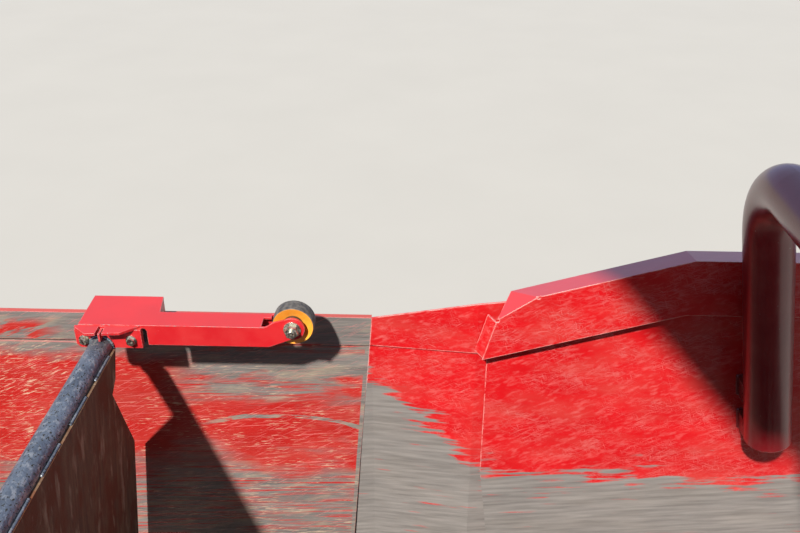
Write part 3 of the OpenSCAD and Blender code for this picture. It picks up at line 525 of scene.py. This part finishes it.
# Steel tube under the crop's dust: blue-grey worn steel with dark speckles above, a crust of
# pale tan soil on its flanks and below.
def soiled_tube(name):
    made, tree, place = new_finish(name)
    metal = add(tree, "Mix",
                {0: marks(tree, place, (20, 60, 20), 0.3, 0.7, detail=5.0), 6: linear("#565e67"),
                 7: linear("#808991")}, **COLOURS)
    low = add(tree, "MapRange",
              {0: add(tree, "SeparateXYZ", {0: place}, out="Z"), 1: TUBE_Z - 0.001,
               2: TUBE_Z - 0.023})
    ragged = marks(tree, place, (25, 60, 12), 0.2, 0.8, detail=6.0)
    crust = add(tree, "MapRange",
                {0: add(tree, "Math", {0: low, 1: ragged}, operation="ADD"), 1: 0.75, 2: 1.05})
    clod = add(tree, "Mix",
               {0: marks(tree, place, 10, 0.3, 0.7, detail=6.0), 6: linear("#84796a"),
                7: linear("#a89d8c")}, **COLOURS)
    tone = add(tree, "Mix", {0: crust, 6: metal, 7: clod}, **COLOURS)
    pale = marks(tree, place, (9, 16, 9), 0.52, 0.62, detail=6.0)
    tone = add(tree, "Mix",
               {0: add(tree, "Math", {0: pale, 1: 0.7}, operation="MULTIPLY"), 6: tone,
                7: linear("#a5a7a6")}, **COLOURS)
    speck = marks(tree, place, (4, 6, 4), 0.60, 0.65, detail=2.0)
    tone = add(tree, "Mix", {0: speck, 6: tone, 7: linear("#25231f")}, **COLOURS)
    dull = most(tree, crust, speck)
    rough = add(tree, "MapRange", {0: dull, 3: 0.42, 4: 0.95})
    shine = add(tree, "MapRange", {0: dull, 3: 0.6, 4: 0.0})
    height = add(tree, "Math", {0: marks(tree, place, 6, 0.3, 0.7, detail=5.0), 1: crust},
                 operation="ADD")
    close_finish(tree, tone, rough, shine, height, 0.0008)
    return made


# Unpainted sheet that hangs in the crop: brown rust and soil in upright streaks, paler where it
# is rubbed.
def rusty_sheet(name):
    made, tree, place = new_finish(name)
    streak = marks(tree, place, (40, 12, 220), 0.35, 0.65, detail=6.0)
    tone = add(tree, "Mix", {0: streak, 6: linear("#5f4633"), 7: linear("#7d624a")}, **COLOURS)
    cloud = marks(tree, place, (80, 60, 110), 0.45, 0.62, detail=6.0)
    tone = add(tree, "Mix", {0: cloud, 6: tone, 7: paints().rust}, **COLOURS)
    pale = marks(tree, place, (60, 26, 120), 0.56, 0.68, detail=5.0)
    tone = add(tree, "Mix", {0: pale, 6: tone, 7: linear("#9a8672")}, **COLOURS)
    grain = marks(tree, place, (2, 2, 4), 0.3, 0.7, detail=4.0)
    rough = add(tree, "MapRange", {0: pale, 3: 0.8, 4: 0.6})
    close_finish(tree, tone, rough, 0.0, grain, 0.0004)
    return made


# Zinc plating: bright grey with a faint blotchy passivation and dull dust in the corners.
def zinc_plate(name):
    look = paints()
    made, tree, place = new_finish(name)
    cloud = marks(tree, place, 8, 0.35, 0.65, detail=4.0)
    tone = add(tree, "Mix", {0: cloud, 6: look.zinc, 7: linear("#bdb9a2")}, **COLOURS)
    dirt = add(tree, "Math", {0: marks(tree, place, 5, 0.5, 0.7, detail=5.0), 1: 0.5},
               operation="MULTIPLY")
    tone = add(tree, "Mix", {0: dirt, 6: tone, 7: look.soil}, **COLOURS)
    shine = add(tree, "MapRange", {0: dirt, 3: 1.0, 4: 0.1})
    rough = add(tree, "MapRange", {0: dirt, 3: 0.3, 4: 0.9})
    close_finish(tree, tone, rough, shine, cloud, 0.00005, 0.0006)
    return made


# Cast polyurethane roller: faintly translucent orange side with painted shade, dark brown, in the
# dished middle, and a tread darkened by rubbed-in soil.
def roller_cast(name):
    look = paints()
    made, tree, place = new_finish(name)
    shift = add(tree, "VectorMath", {0: place, 1: (ROLLER_X, 0.0, ROLLER_Z)}, operation="SUBTRACT")
    flat = add(tree, "VectorMath", {0: shift, 1: (1.0, 0.0, 1.0)}, operation="MULTIPLY")
    radius = add(tree, "VectorMath", {0: flat}, out="Value", operation="LENGTH")
    tread = add(tree, "MapRange", {0: radius, 1: 0.0432, 2: 0.0445})
    # Painted shade: the middle of the side face, dished in behind the arm's end, is dark brown.
    painted_hub_shade = add(tree, "MapRange", {0: radius, 1: 0.024, 2: 0.021})
    body = add(tree, "Mix",
               {0: marks(tree, place, 12, 0.3, 0.7), 6: linear("#f09a30"), 7: look.roller},
               **COLOURS)
    tone = add(tree, "Mix",
               {0: marks(tree, place, 14, 0.66, 0.86, detail=5.0), 6: body, 7: look.soil},
               **COLOURS)
    dark = add(tree, "Mix",
               {0: marks(tree, place, 10, 0.3, 0.7, detail=5.0), 6: linear("#2d2b2a"),
                7: linear("#6d6862")}, **COLOURS)
    tone = add(tree, "Mix", {0: tread, 6: tone, 7: dark}, **COLOURS)
    tone = add(tree, "Mix", {0: painted_hub_shade, 6: tone, 7: linear("#4a3a2a")}, **COLOURS)
    rough = add(tree, "MapRange", {0: tread, 3: 0.36, 4: 0.7})
    grain = marks(tree, place, 3, 0.3, 0.7, detail=3.0)
    close_finish(tree, tone, rough, 0.0, grain, 0.0001,
                 more={"Subsurface Weight": 0.05, "Subsurface Radius": (0.01, 0.004, 0.002),
                       "IOR": 1.5})
    return made


# Fabric-backed belt rubber: matt black, grey where soil dust lies in its surface.
def belt_rubber(name):
    look = paints()
    made, tree, place = new_finish(name)
    dirt = add(tree, "Math", {0: marks(tree, place, (40, 12, 40), 0.35, 0.7, detail=6.0), 1: 0.55},
               operation="MULTIPLY")
    tone = add(tree, "Mix", {0: dirt, 6: look.rubber, 7: look.soil}, **COLOURS)
    weave = marks(tree, place, 2, 0.3, 0.7)
    close_finish(tree, tone, 0.85, 0.0, weave, 0.0002, more={"IOR": 1.52})
    return made


# Hard-chromed, ground rod: mirror-like, faintly blue, with hair-fine rings.
def hard_chrome(name):
    made, tree, place = new_finish(name)
    ring = marks(tree, place, 20, 0.3, 0.7, detail=4.0)
    tone = add(tree, "Mix", {0: ring, 6: linear("#c9cbd0"), 7: linear("#dcdde0")}, **COLOURS)
    rough = add(tree, "MapRange", {0: ring, 3: 0.08, 4: 0.16})
    close_finish(tree, tone, rough, 1.0, ring, 0.00001)
    return made


def shown_as(name, mesh, material):
    """Makes a finished bmesh an object of that name in one material."""
    data = bpy.data.meshes.new(name)
    mesh.to_mesh(data)
    mesh.free()
    data.materials.append(material)
    piece = bpy.data.objects.new(name, data)
    bpy.context.scene.collection.objects.link(piece)
    return piece


def hand_over(name, mesh, body, material):
    """Makes a finished bmesh a piece that rides on a body and wears one material."""
    bmesh.ops.recalc_face_normals(mesh, faces=mesh.faces)
    piece = shown_as(name, mesh, material)
    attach(piece, body)
    return piece


def wear(nodes, material):
    """Gives whole CAD nodes one material."""
    for name in nodes:
        data = NODES[name].data
        data.materials.clear()
        data.materials.append(material)


def belts(node, spot, run, radius, material):
    """Gives the belt strands of a conveyor node their rubber: its short faces at belt height."""
    data = NODES[node].data
    data.materials.append(material)
    start = Vector(spot(0.0, 0.0, 0.0))
    along = Vector(spot(1.0, 0.0, 0.0)) - start
    square = Vector(spot(0.0, 0.0, 1.0)) - start
    place = NODES[node].matrix_world
    for face in data.polygons:
        corners = [place @ data.vertices[i].co for i in face.vertices]
        ys = [p.y for p in corners]
        middle = sum(corners, Vector()) / len(corners)
        aside = min(abs(middle.y - y) for y in BELT_Y)
        if max(ys) - min(ys) > BELT_WIDTH + 0.001 or aside > BELT_WIDTH / 2 + 0.0005:
            continue
        reach = []
        for p in corners:
            u, w = (p - start).dot(along), (p - start).dot(square)
            reach.append(math.hypot(u - min(max(u, 0.0), run), w))
        if max(reach) < radius + 0.0003 and min(reach) > radius - BELT_DEPTH - 0.0003:
            face.material_index = 1


def turned(mesh, place, profile, steps=24):
    """Turns a profile of (radius, height) pairs round the local Z axis of that place."""
    rings = []
    for radius, height in profile:
        count = steps if radius > 0 else 1
        turns = [2 * math.pi * i / steps for i in range(count)]
        points = [Vector((radius * math.cos(a), radius * math.sin(a), height)) for a in turns]
        rings.append([mesh.verts.new(place @ point) for point in points])
    for low, high in zip(rings, rings[1:]):
        for i in range(steps):
            k = (i + 1) % steps
            corners = (low[i % len(low)], low[k % len(low)], high[k % len(high)],
                       high[i % len(high)])
            kept = list(dict.fromkeys(corners))
            if len(kept) > 2:
                mesh.faces.new(kept).smooth = True


def hex_head(mesh, place, flats, height, washer):
    """A hexagon head with its chamfer, which may sit on a washer."""
    base = 0.0
    if washer:
        base = flats * 0.14
        r = flats * 0.64
        turned(mesh, place, [(0, 0), (r, 0), (r, base * 0.75), (r - base * 0.3, base), (0, base)],
               28)
    corner = flats / math.sqrt(3)
    flat_r = flats * 0.475
    low, high, top = [], [], []
    for i in range(HEAD_SIDES):
        a = 2 * math.pi * i / HEAD_SIDES
        rho = min(flats / 2 / math.cos((a + math.pi / 6) % (math.pi / 3) - math.pi / 6), corner)
        fall = max(0.0, rho - flat_r) * math.tan(math.radians(30))
        c, s = math.cos(a), math.sin(a)
        low.append(mesh.verts.new(place @ Vector((rho * c, rho * s, base))))
        high.append(mesh.verts.new(place @ Vector((rho * c, rho * s, base + height - fall))))
        top.append(mesh.verts.new(place @ Vector((flat_r * c, flat_r * s, base + height))))
    for i in range(HEAD_SIDES):
        k = (i + 1) % HEAD_SIDES
        mesh.faces.new([low[i], low[k], high[k], high[i]])
        mesh.faces.new([high[i], high[k], top[k], top[i]])
    mesh.faces.new(list(reversed(low)))
    mesh.faces.new(top)


def facing(point, axis):
    """The matrix of a place whose Z axis looks along that axis."""
    turn = Vector(axis).to_track_quat("Z", "Y").to_matrix().to_4x4()
    return Matrix.Translation(Vector(point)) @ turn


def heads(name, body, places, flats, height, material, washer=True):
    """One mesh of hexagon heads, each at its place with its own small turn."""
    turn = random.Random(bpy.context.scene.bunker_sizes.seed + len(name))
    mesh = bmesh.new()
    for point, axis in places:
        at = facing(point, axis) @ Matrix.Rotation(turn.uniform(0, math.pi / 3), 4, "Z")
        hex_head(mesh, at, flats, height, washer)
    return hand_over(name, mesh, body, material)


def beads(name, body, runs, material):
    """Fillet weld beads, rippled along their length; a run is a list of points."""
    size = bpy.context.scene.bunker_sizes
    shake = random.Random(size.seed)
    mesh = bmesh.new()
    for run in runs:
        points = [Vector(p) for p in run]
        steps = []
        for a, b in zip(points, points[1:]):
            count = max(2, round((b - a).length / (size.ripple / 3)))
            steps += [a.lerp(b, i / count) for i in range(count)]
        steps.append(points[-1])
        last = None
        for i, p in enumerate(steps):
            ahead = steps[min(i + 1, len(steps) - 1)] - steps[max(i - 1, 0)]
            turn = ahead.to_track_quat("Z", "Y")
            wave = 0.16 * abs(math.sin(i * math.pi / 3))
            r = size.bead * (0.86 + wave + shake.uniform(-0.05, 0.05))
            if i in (0, len(steps) - 1):
                r *= 0.45
            ring = [mesh.verts.new(p + turn @ Vector((r * math.cos(a), r * math.sin(a), 0)))
                    for a in (2 * math.pi * k / BEAD_SIDES for k in range(BEAD_SIDES))]
            if last:
                for k in range(BEAD_SIDES):
                    n = (k + 1) % BEAD_SIDES
                    mesh.faces.new([last[k], last[n], ring[n], ring[k]]).smooth = True
            else:
                mesh.faces.new(list(reversed(ring)))
            last = ring
        mesh.faces.new(last)
    return hand_over(name, mesh, body, material)


def pair(run):
    """A run of points and its mirror image on the other side of the bunker."""
    return [run, [(x, -y, z) for x, y, z in run]]


def pairs(places):
    """Places of heads on both sides of the bunker."""
    return places + [((x, -y, z), (a, -b, c)) for (x, y, z), (a, b, c) in places]


def along_slope(u, y, w):
    """A point of the discharge section: u up its conveyor from the pivot, w square to it."""
    c, n = math.cos(SLOPE), math.sin(SLOPE)
    return (PIVOT_X + u * c - w * n, y, PIVOT_Z + u * n + w * c)


def along_floor(u, y, w):
    """A point of the bunker's floor conveyor: u along it from its tail shaft, w square to it."""
    return (u + TAIL_X, y, w + FLOOR_Z)


def on_panel(x, y, z):
    """A point of the leaning flap panel, measured from the tube's axis."""
    c, n = math.cos(PANEL_LEAN), math.sin(PANEL_LEAN)
    return (TUBE_X + x * c + z * n, y, TUBE_Z - x * n + z * c)


def on_hoop(x, y, z):
    """A point of the leaning guard hoop, measured from its foot line."""
    c, n = math.cos(HOOP_LEAN), math.sin(HOOP_LEAN)
    return (HOOP_X + x * c - z * n, y, HOOP_Z + x * n + z * c)


def around(centre, radius, count, first=0.0):
    """Points evenly round the Y axis of a centre, from that first angle in degrees."""
    x, y, z = centre
    return [(x + radius * math.cos(a), y, z + radius * math.sin(a))
            for a in (math.radians(first + 360 * i / count) for i in range(count))]


def slat_places(run, radius):
    """Places of the slats on a loop: (u, w) of each slat's middle and its outward angle."""
    arc = math.pi * radius
    total = 2 * (run + arc)
    count = int(total / SLAT_PITCH)
    for i in range(count):
        s = i * total / count + SLAT_PITCH / 2
        if s < run:
            yield s, radius, 0.0
        elif s < run + arc:
            a = (s - run) / radius
            yield run + radius * math.sin(a), radius * math.cos(a), a
        elif s < 2 * run + arc:
            yield 2 * run + arc - s, -radius, math.pi
        else:
            a = math.pi + (s - 2 * run - arc) / radius
            yield radius * math.sin(a), radius * math.cos(a), a


def slat_rivets(name, body, spot, run, radius, material):
    """Rivet heads on the slats, two over each belt strand, none past the part's right end."""
    r = bpy.context.scene.bunker_sizes.rivet / 2
    mesh = bmesh.new()
    start = Vector(spot(0.0, 0.0, 0.0))
    for u, w, a in slat_places(run, radius):
        up = Vector(spot(math.sin(a), 0.0, math.cos(a))) - start
        along = Vector(spot(math.cos(a), 0.0, -math.sin(a))) - start
        middle = Vector(spot(u, 0.0, w)) + up * SLAT_TOP
        for y in BELT_Y:
            for side in MIRRORED:
                at = middle + along * 0.009 * side + Vector((0.0, y + 0.015 * side, 0.0))
                if at.x < LAST_RIVET_X:
                    turned(mesh, facing(at, up),
                           [(r, 0), (r * 0.93, r * 0.3), (r * 0.6, r * 0.55), (0, r * 0.64)], 10)
    return hand_over(name, mesh, body, material)


def flanged(name, body, centres, radii, depth, material):
    """Turned bearing flanges: a (hole, collar, rim) profile, facing outwards at each centre."""
    hole, collar, rim = radii
    mesh = bmesh.new()
    for centre in centres:
        at = facing(centre, (0.0, math.copysign(1.0, centre[1]), 0.0))
        turned(mesh, at,
               [(hole, 0), (rim, 0), (rim, depth * 0.45), (rim - 0.002, depth * 0.52),
                (collar + 0.004, depth * 0.58), (collar, depth * 0.66), (collar - 0.0015, depth),
                (hole, depth), (hole, 0)], 40)
    return hand_over(name, mesh, body, material)


class BUNKER_OT_frame(bpy.types.Operator):
    """Enamels the underframe, posts, end wall and cylinder feet, and lays their weld beads"""
    bl_idname = "bunker.frame"
    bl_label = "Frame and posts"

    def execute(self, context):
        red = frame_enamel("sprayed_enamel_frame", paints().frame_red)
        wear(["underframe", "end_wall", "front_posts", "rear_posts", "cylinder_feet",
              "rod_brackets", "lift_frame"], red)
        runs = []
        reach, beam_edges = 0.036, (LONG_BEAM_Y - BEAM_EDGE, LONG_BEAM_Y + BEAM_EDGE)
        for x in CROSS_BEAMS_X:
            for side in MIRRORED:
                edge = x + side * BEAM_EDGE
                runs += pair([(edge, LONG_BEAM_Y - reach, 0.1195),
                              (edge, LONG_BEAM_Y + reach, 0.1195)])
            for y in beam_edges:
                runs += pair([(x - reach, y, 0.119), (x + reach, y, 0.119)])
        for x in FEET_X:
            for y in beam_edges:
                runs += pair([(x - 0.105, y, 0.0165), (x + 0.08, y, 0.0165)])
        for x, foot in POSTS:
            for side in MIRRORED:
                edge = x + side * 0.031
                runs += pair([(edge, 0.862, foot), (edge, 0.9, foot)])
                if edge < RAILS_END_X:
                    for z in RAIL_EDGES_Z:
                        runs += pair([(edge, 0.863, z), (edge, 0.882, z)])
        for y in END_POSTS_Y:
            for side in MIRRORED:
                edge = y + side * 0.0315
                for low in (0.33, 0.7, 1.07):
                    runs.append([(-1.5055, edge, low), (-1.5055, edge, low + 0.16)])
        beads("frame_weld_beads", "bunker", runs, red)
        feet = []
        for y in (0.8475, 0.8885):
            feet += pair([(0.4515, y, 0.1), (0.4515, y, 0.176)])
        feet += pair([(0.4415, 0.838, 0.1835), (0.4415, 0.898, 0.1835)])
        beads("cylinder_foot_beads", "bunker", feet, red)
        return {"FINISHED"}


class BUNKER_OT_walls(bpy.types.Operator):
    """Finishes the fixed walls, their extensions and the skirts onto the conveyor"""
    bl_idname = "bunker.walls"
    bl_label = "Walls"

    def execute(self, context):
        wear(["front_wall", "rear_wall"], wall_enamel("sprayed_enamel_rubbed_by_crop"))
        wear(["front_extension", "rear_extension"],
             bright_enamel("sprayed_enamel_extension", worn_from=1.22, fall=0.9))
        wear(["floor_skirts", "transfer_plate"], slat_steel("crop_rubbed_sheet_steel"))
        return {"FINISHED"}


class BUNKER_OT_discharge(bpy.types.Operator):
    """Finishes the discharge section and its guard hoop, with weld beads"""
    bl_idname = "bunker.discharge"
    bl_label = "Discharge section"

    def execute(self, context):
        red = bright_enamel("sprayed_enamel_discharge", worn_from=1.10, fall=0.0)
        wear(["lift_front_wall", "lift_rear_wall"], red)
        # The hoop's enamel is a darker red: painted shade.
        dark = gloss_enamel("sprayed_enamel_hoop", paints().hoop_red_with_painted_shade)
        wear(["guard_hoop"], dark)
        runs = []
        half = 0.041
        for middle in (-0.468, -0.563):
            low, high = middle - 0.026, middle + 0.026
            corners = [(-half, low), (half, low), (half, high), (-half, high), (-half, low)]
            runs += pair([on_hoop(x, 0.7635, z) for x, z in corners])
        beads("hoop_pad_beads", "discharge", runs, dark)
        plate = [(0.91, 0.4507), (1.08, 0.4947), (1.08, 0.5747), (1.02, 0.5947), (0.91, 0.5547)]
        run = [(x, 0.7705, z) for x, z in plate + plate[:1]]
        beads("rod_bracket_beads", "discharge", pair(run), red)
        return {"FINISHED"}


class BUNKER_OT_flap(bpy.types.Operator):
    """Finishes the flap's tube, panel, levers, brackets, bolts and rollers, with weld beads"""
    bl_idname = "bunker.flap"
    bl_label = "Flap and levers"

    def execute(self, context):
        gloss = gloss_enamel("sprayed_enamel_lever", paints().gloss_red, gloss=0.55)
        wear(["front_arm", "rear_arm", "flap_brackets"], gloss)
        wear(["arm_bolts"], zinc_plate("zinc_plated_bolt_steel"))
        tube = soiled_tube("rolled_steel_tube_under_soil")
        wear(["flap_tube"], tube)
        wear(["flap_panel"], rusty_sheet("rusted_sheet_steel"))
        wear(["front_roller", "rear_roller"], roller_cast("cast_polyurethane"))
        ring = around((TUBE_X, 0.7215, TUBE_Z), 0.0258, 40)
        beads("tube_end_beads", "flap", pair(ring + ring[:1]), tube)
        stitches = [[on_panel(0.0275, y, 0.0006), on_panel(0.0275, y + 0.09, 0.0006)]
                    for y in (-0.69 + 0.143 * i for i in range(10))]
        beads("panel_stitch_beads", "flap", stitches, tube)
        under = []
        for left, right in ((-0.740, -0.700), (-0.674, -0.620)):
            under += pair([(left, 0.7225, 1.5115), (right, 0.7225, 1.5115)])
        beads("gusset_beads", "flap", under, gloss)
        return {"FINISHED"}


class BUNKER_OT_conveyors(bpy.types.Operator):
    """Finishes both conveyors with their rivets, belts, shafts, bearings, bolts and motors"""
    bl_idname = "bunker.conveyors"
    bl_label = "Conveyors and drives"

    def execute(self, context):
        look, size = paints(), context.scene.bunker_sizes
        slats = slat_steel("folded_slat_steel")
        rubber = belt_rubber("moulded_belt_rubber")
        for node, body, spot, run, radius in (
                ("floor_conveyor", "bunker", along_floor, FLOOR_RUN, FLOOR_RADIUS),
                ("lift_conveyor", "discharge", along_slope, LIFT_RUN, LIFT_RADIUS)):
            wear([node], slats)
            belts(node, spot, run, radius, rubber)
            slat_rivets(node + "_rivets", body, spot, run, radius, slats)
        wear(["floor_head_shaft", "floor_tail_shaft", "lift_head_shaft", "lift_tail_shaft",
              "slide_rails"], turned_steel("turned_shaft_steel", look.steel))
        iron = cast_iron("sand_cast_iron", look.iron)
        wear(["flap_bearings", "pivot_bearings"], iron)
        motor = cast_iron("cast_motor_housing", linear("#2e3034"))
        wear(["floor_motor", "lift_motor"], motor)
        zinc = zinc_plate("zinc_plated_screw_steel")
        flanged("tail_bearing_flanges", "bunker",
                [(TAIL_X, 0.8463, FLOOR_Z), (TAIL_X, -0.8463, FLOOR_Z)], (0.0345, 0.042, 0.06),
                0.018, iron)
        flanged("head_bearing_flange", "bunker", [(HEAD_X, 0.826, FLOOR_Z)], (0.0385, 0.046, 0.064),
                0.02, iron)
        front, rear = (0, 1, 0), (0, -1, 0)
        bolts = pairs([((x, 0.842, 1.428), rear) for x in (-0.736, -0.652)])
        square = 0.056 * math.sqrt(2)
        for pivot, head, motor_foot in zip(
                around((PIVOT_X, 0.82, PIVOT_Z), 0.056, 4, 45),
                around((HEAD_X, 0.8364, FLOOR_Z), 0.055, 4, 45),
                around((HEAD_X, -0.9, FLOOR_Z), square, 4, 45)):
            bolts += pairs([(pivot, front)]) + [(head, front), (motor_foot, rear)]
        for tail in around((TAIL_X, 0.8557, FLOOR_Z), 0.051, 3, 90):
            bolts += pairs([(tail, front)])
        heads("bunker_bearing_bolts", "bunker", bolts, size.m10, M10_HEIGHT, zinc)
        bolts = [(along_slope(LIFT_RUN + 0.048 * a, -0.858, 0.048 * b), rear)
                 for a in MIRRORED for b in MIRRORED]
        bolts += [(along_slope(*p), front) for p in around((LIFT_RUN, 0.781, 0.0), 0.042, 3, 90)]
        heads("discharge_bearing_bolts", "discharge", bolts, size.m10, M10_HEIGHT, zinc)
        screws = [(along_slope(*p), rear) for p in around((LIFT_RUN, -0.935, 0.0), 0.034, 6, 30)]
        heads("lift_motor_screws", "discharge", screws, size.screw, size.screw / 2, zinc,
              washer=False)
        return {"FINISHED"}


class BUNKER_OT_cylinders(bpy.types.Operator):
    """Finishes the lift cylinders"""
    bl_idname = "bunker.cylinders"
    bl_label = "Lift cylinders"

    def execute(self, context):
        black = gloss_enamel("black_enamel_barrel", paints().black, 0.3)
        wear(["front_barrel", "rear_barrel"], black)
        wear(["front_rod", "rear_rod"], hard_chrome("hard_chrome"))
        return {"FINISHED"}


class BUNKER_OT_stage(bpy.types.Operator):
    """Makes the plain floor, the key light, the card that shades the right end, and the camera"""
    bl_idname = "bunker.stage"
    bl_label = "Stage"

    def execute(self, context):
        stage, look = context.scene.bunker_stage, paints()
        # Fine pale screed, trowelled: matt, with faint broad clouds, and clear from below.
        made, tree, place = new_finish("pale_floor")
        tone = add(tree, "Mix",
                   {0: marks(tree, place, 900, 0.3, 0.7), 6: darker(look.floor, 0.97),
                    7: look.floor}, **COLOURS)
        close_finish(tree, tone, 0.9)
        last = tree.nodes["Material Output"].inputs["Surface"]
        below = add(tree, "NewGeometry", out="Backfacing")
        clear = add(tree, "BsdfTransparent")
        tree.links.new(add(tree, "MixShader", {0: below, 1: last.links[0].from_socket, 2: clear}),
                       last)
        mesh = bmesh.new()
        bmesh.ops.create_grid(mesh, x_segments=2, y_segments=2, size=FLOOR_HALF)
        floor = shown_as("floor", mesh, made)

        world = bpy.data.worlds.new("plain_surroundings")
        world.use_nodes = True
        tree = world.node_tree
        rays = tree.nodes.new("ShaderNodeLightPath").outputs
        tone = add(tree, "Mix",
                   {0: rays["Is Glossy Ray"], 6: darker(SKY_FILL, stage.fill),
                    7: darker(SKY_GLEAM, stage.gleam)}, **COLOURS)
        tone = add(tree, "Mix", {0: rays["Is Camera Ray"], 6: tone, 7: SKY_SEEN}, **COLOURS)
        tree.links.new(tone, tree.nodes["Background"].inputs["Color"])
        context.scene.world = world

        lamp = bpy.data.lights.new("key", "SUN")
        lamp.energy, lamp.angle, lamp.color = stage.key, stage.soft, SUNLIGHT
        key = bpy.data.objects.new("key", lamp)
        context.scene.collection.objects.link(key)
        key.rotation_mode = "QUATERNION"
        key.rotation_quaternion = BEAM.to_track_quat("-Z", "Y")

        # Matt black card: it only throws the shade of what stands outside the picture.
        made, tree, place = new_finish("matt_black_card")
        close_finish(tree, (0.02, 0.02, 0.02), 0.95)
        mesh = bmesh.new()
        mesh.faces.new([mesh.verts.new(Vector(p) - BEAM * CARD_AWAY) for p in SHADE_CARD])
        shade = shown_as("shade_card", mesh, made)
        shade.visible_camera = shade.visible_glossy = shade.visible_diffuse = False

        pitch, yaw, roll = stage.pitch, stage.yaw, stage.roll
        ahead = Vector((-math.sin(yaw) * math.cos(pitch), math.cos(yaw) * math.cos(pitch),
                        -math.sin(pitch)))
        level = Vector((math.cos(yaw), math.sin(yaw), 0.0))
        above = level.cross(ahead)
        right = level * math.cos(roll) + above * math.sin(roll)
        up = above * math.cos(roll) - level * math.sin(roll)
        eye = bpy.data.cameras.new("camera")
        eye.lens, eye.sensor_width = stage.lens, SENSOR
        eye.clip_start, eye.clip_end = 0.05, 200.0
        camera = bpy.data.objects.new("camera", eye)
        context.scene.collection.objects.link(camera)
        turn = Matrix((right, up, -ahead)).transposed().to_4x4()
        camera.matrix_world = Matrix.Translation(Vector(stage.place)) @ turn
        context.scene.camera = camera
        context.scene.view_settings.view_transform = "Standard"
        return {"FINISHED"}


OPERATORS = (BUNKER_OT_frame, BUNKER_OT_walls, BUNKER_OT_discharge, BUNKER_OT_flap,
             BUNKER_OT_conveyors, BUNKER_OT_cylinders, BUNKER_OT_stage)


class BUNKER_PT_looks(bpy.types.Panel):
    """Lists the pieces, colours and sizes of the bunker"""
    bl_idname = "BUNKER_PT_looks"
    bl_label = "Potato bunker"
    bl_space_type = "VIEW_3D"
    bl_region_type = "UI"
    bl_category = "Bunker"

    def draw(self, context):
        for kind in OPERATORS:
            self.layout.operator(kind.bl_idname)
        for group in (context.scene.bunker_colours, context.scene.bunker_sizes,
                      context.scene.bunker_stage):
            column = self.layout.column()
            for name in group.__annotations__:
                column.prop(group, name)


GROUPS = (("bunker_colours", BunkerColours), ("bunker_sizes", BunkerSizes),
          ("bunker_stage", BunkerStage))


def register():
    for name, group in GROUPS:
        bpy.utils.register_class(group)
        setattr(bpy.types.Scene, name, PointerProperty(type=group))
    for kind in (*OPERATORS, BUNKER_PT_looks):
        bpy.utils.register_class(kind)


def unregister():
    for kind in (BUNKER_PT_looks, *reversed(OPERATORS)):
        bpy.utils.unregister_class(kind)
    for name, group in GROUPS:
        delattr(bpy.types.Scene, name)
        bpy.utils.unregister_class(group)


def main():
    register()
    for kind in OPERATORS:
        getattr(bpy.ops.bunker, kind.bl_idname.split(".")[1])()
    bpy.context.view_layer.update()


if __name__ == "__main__":
    main()
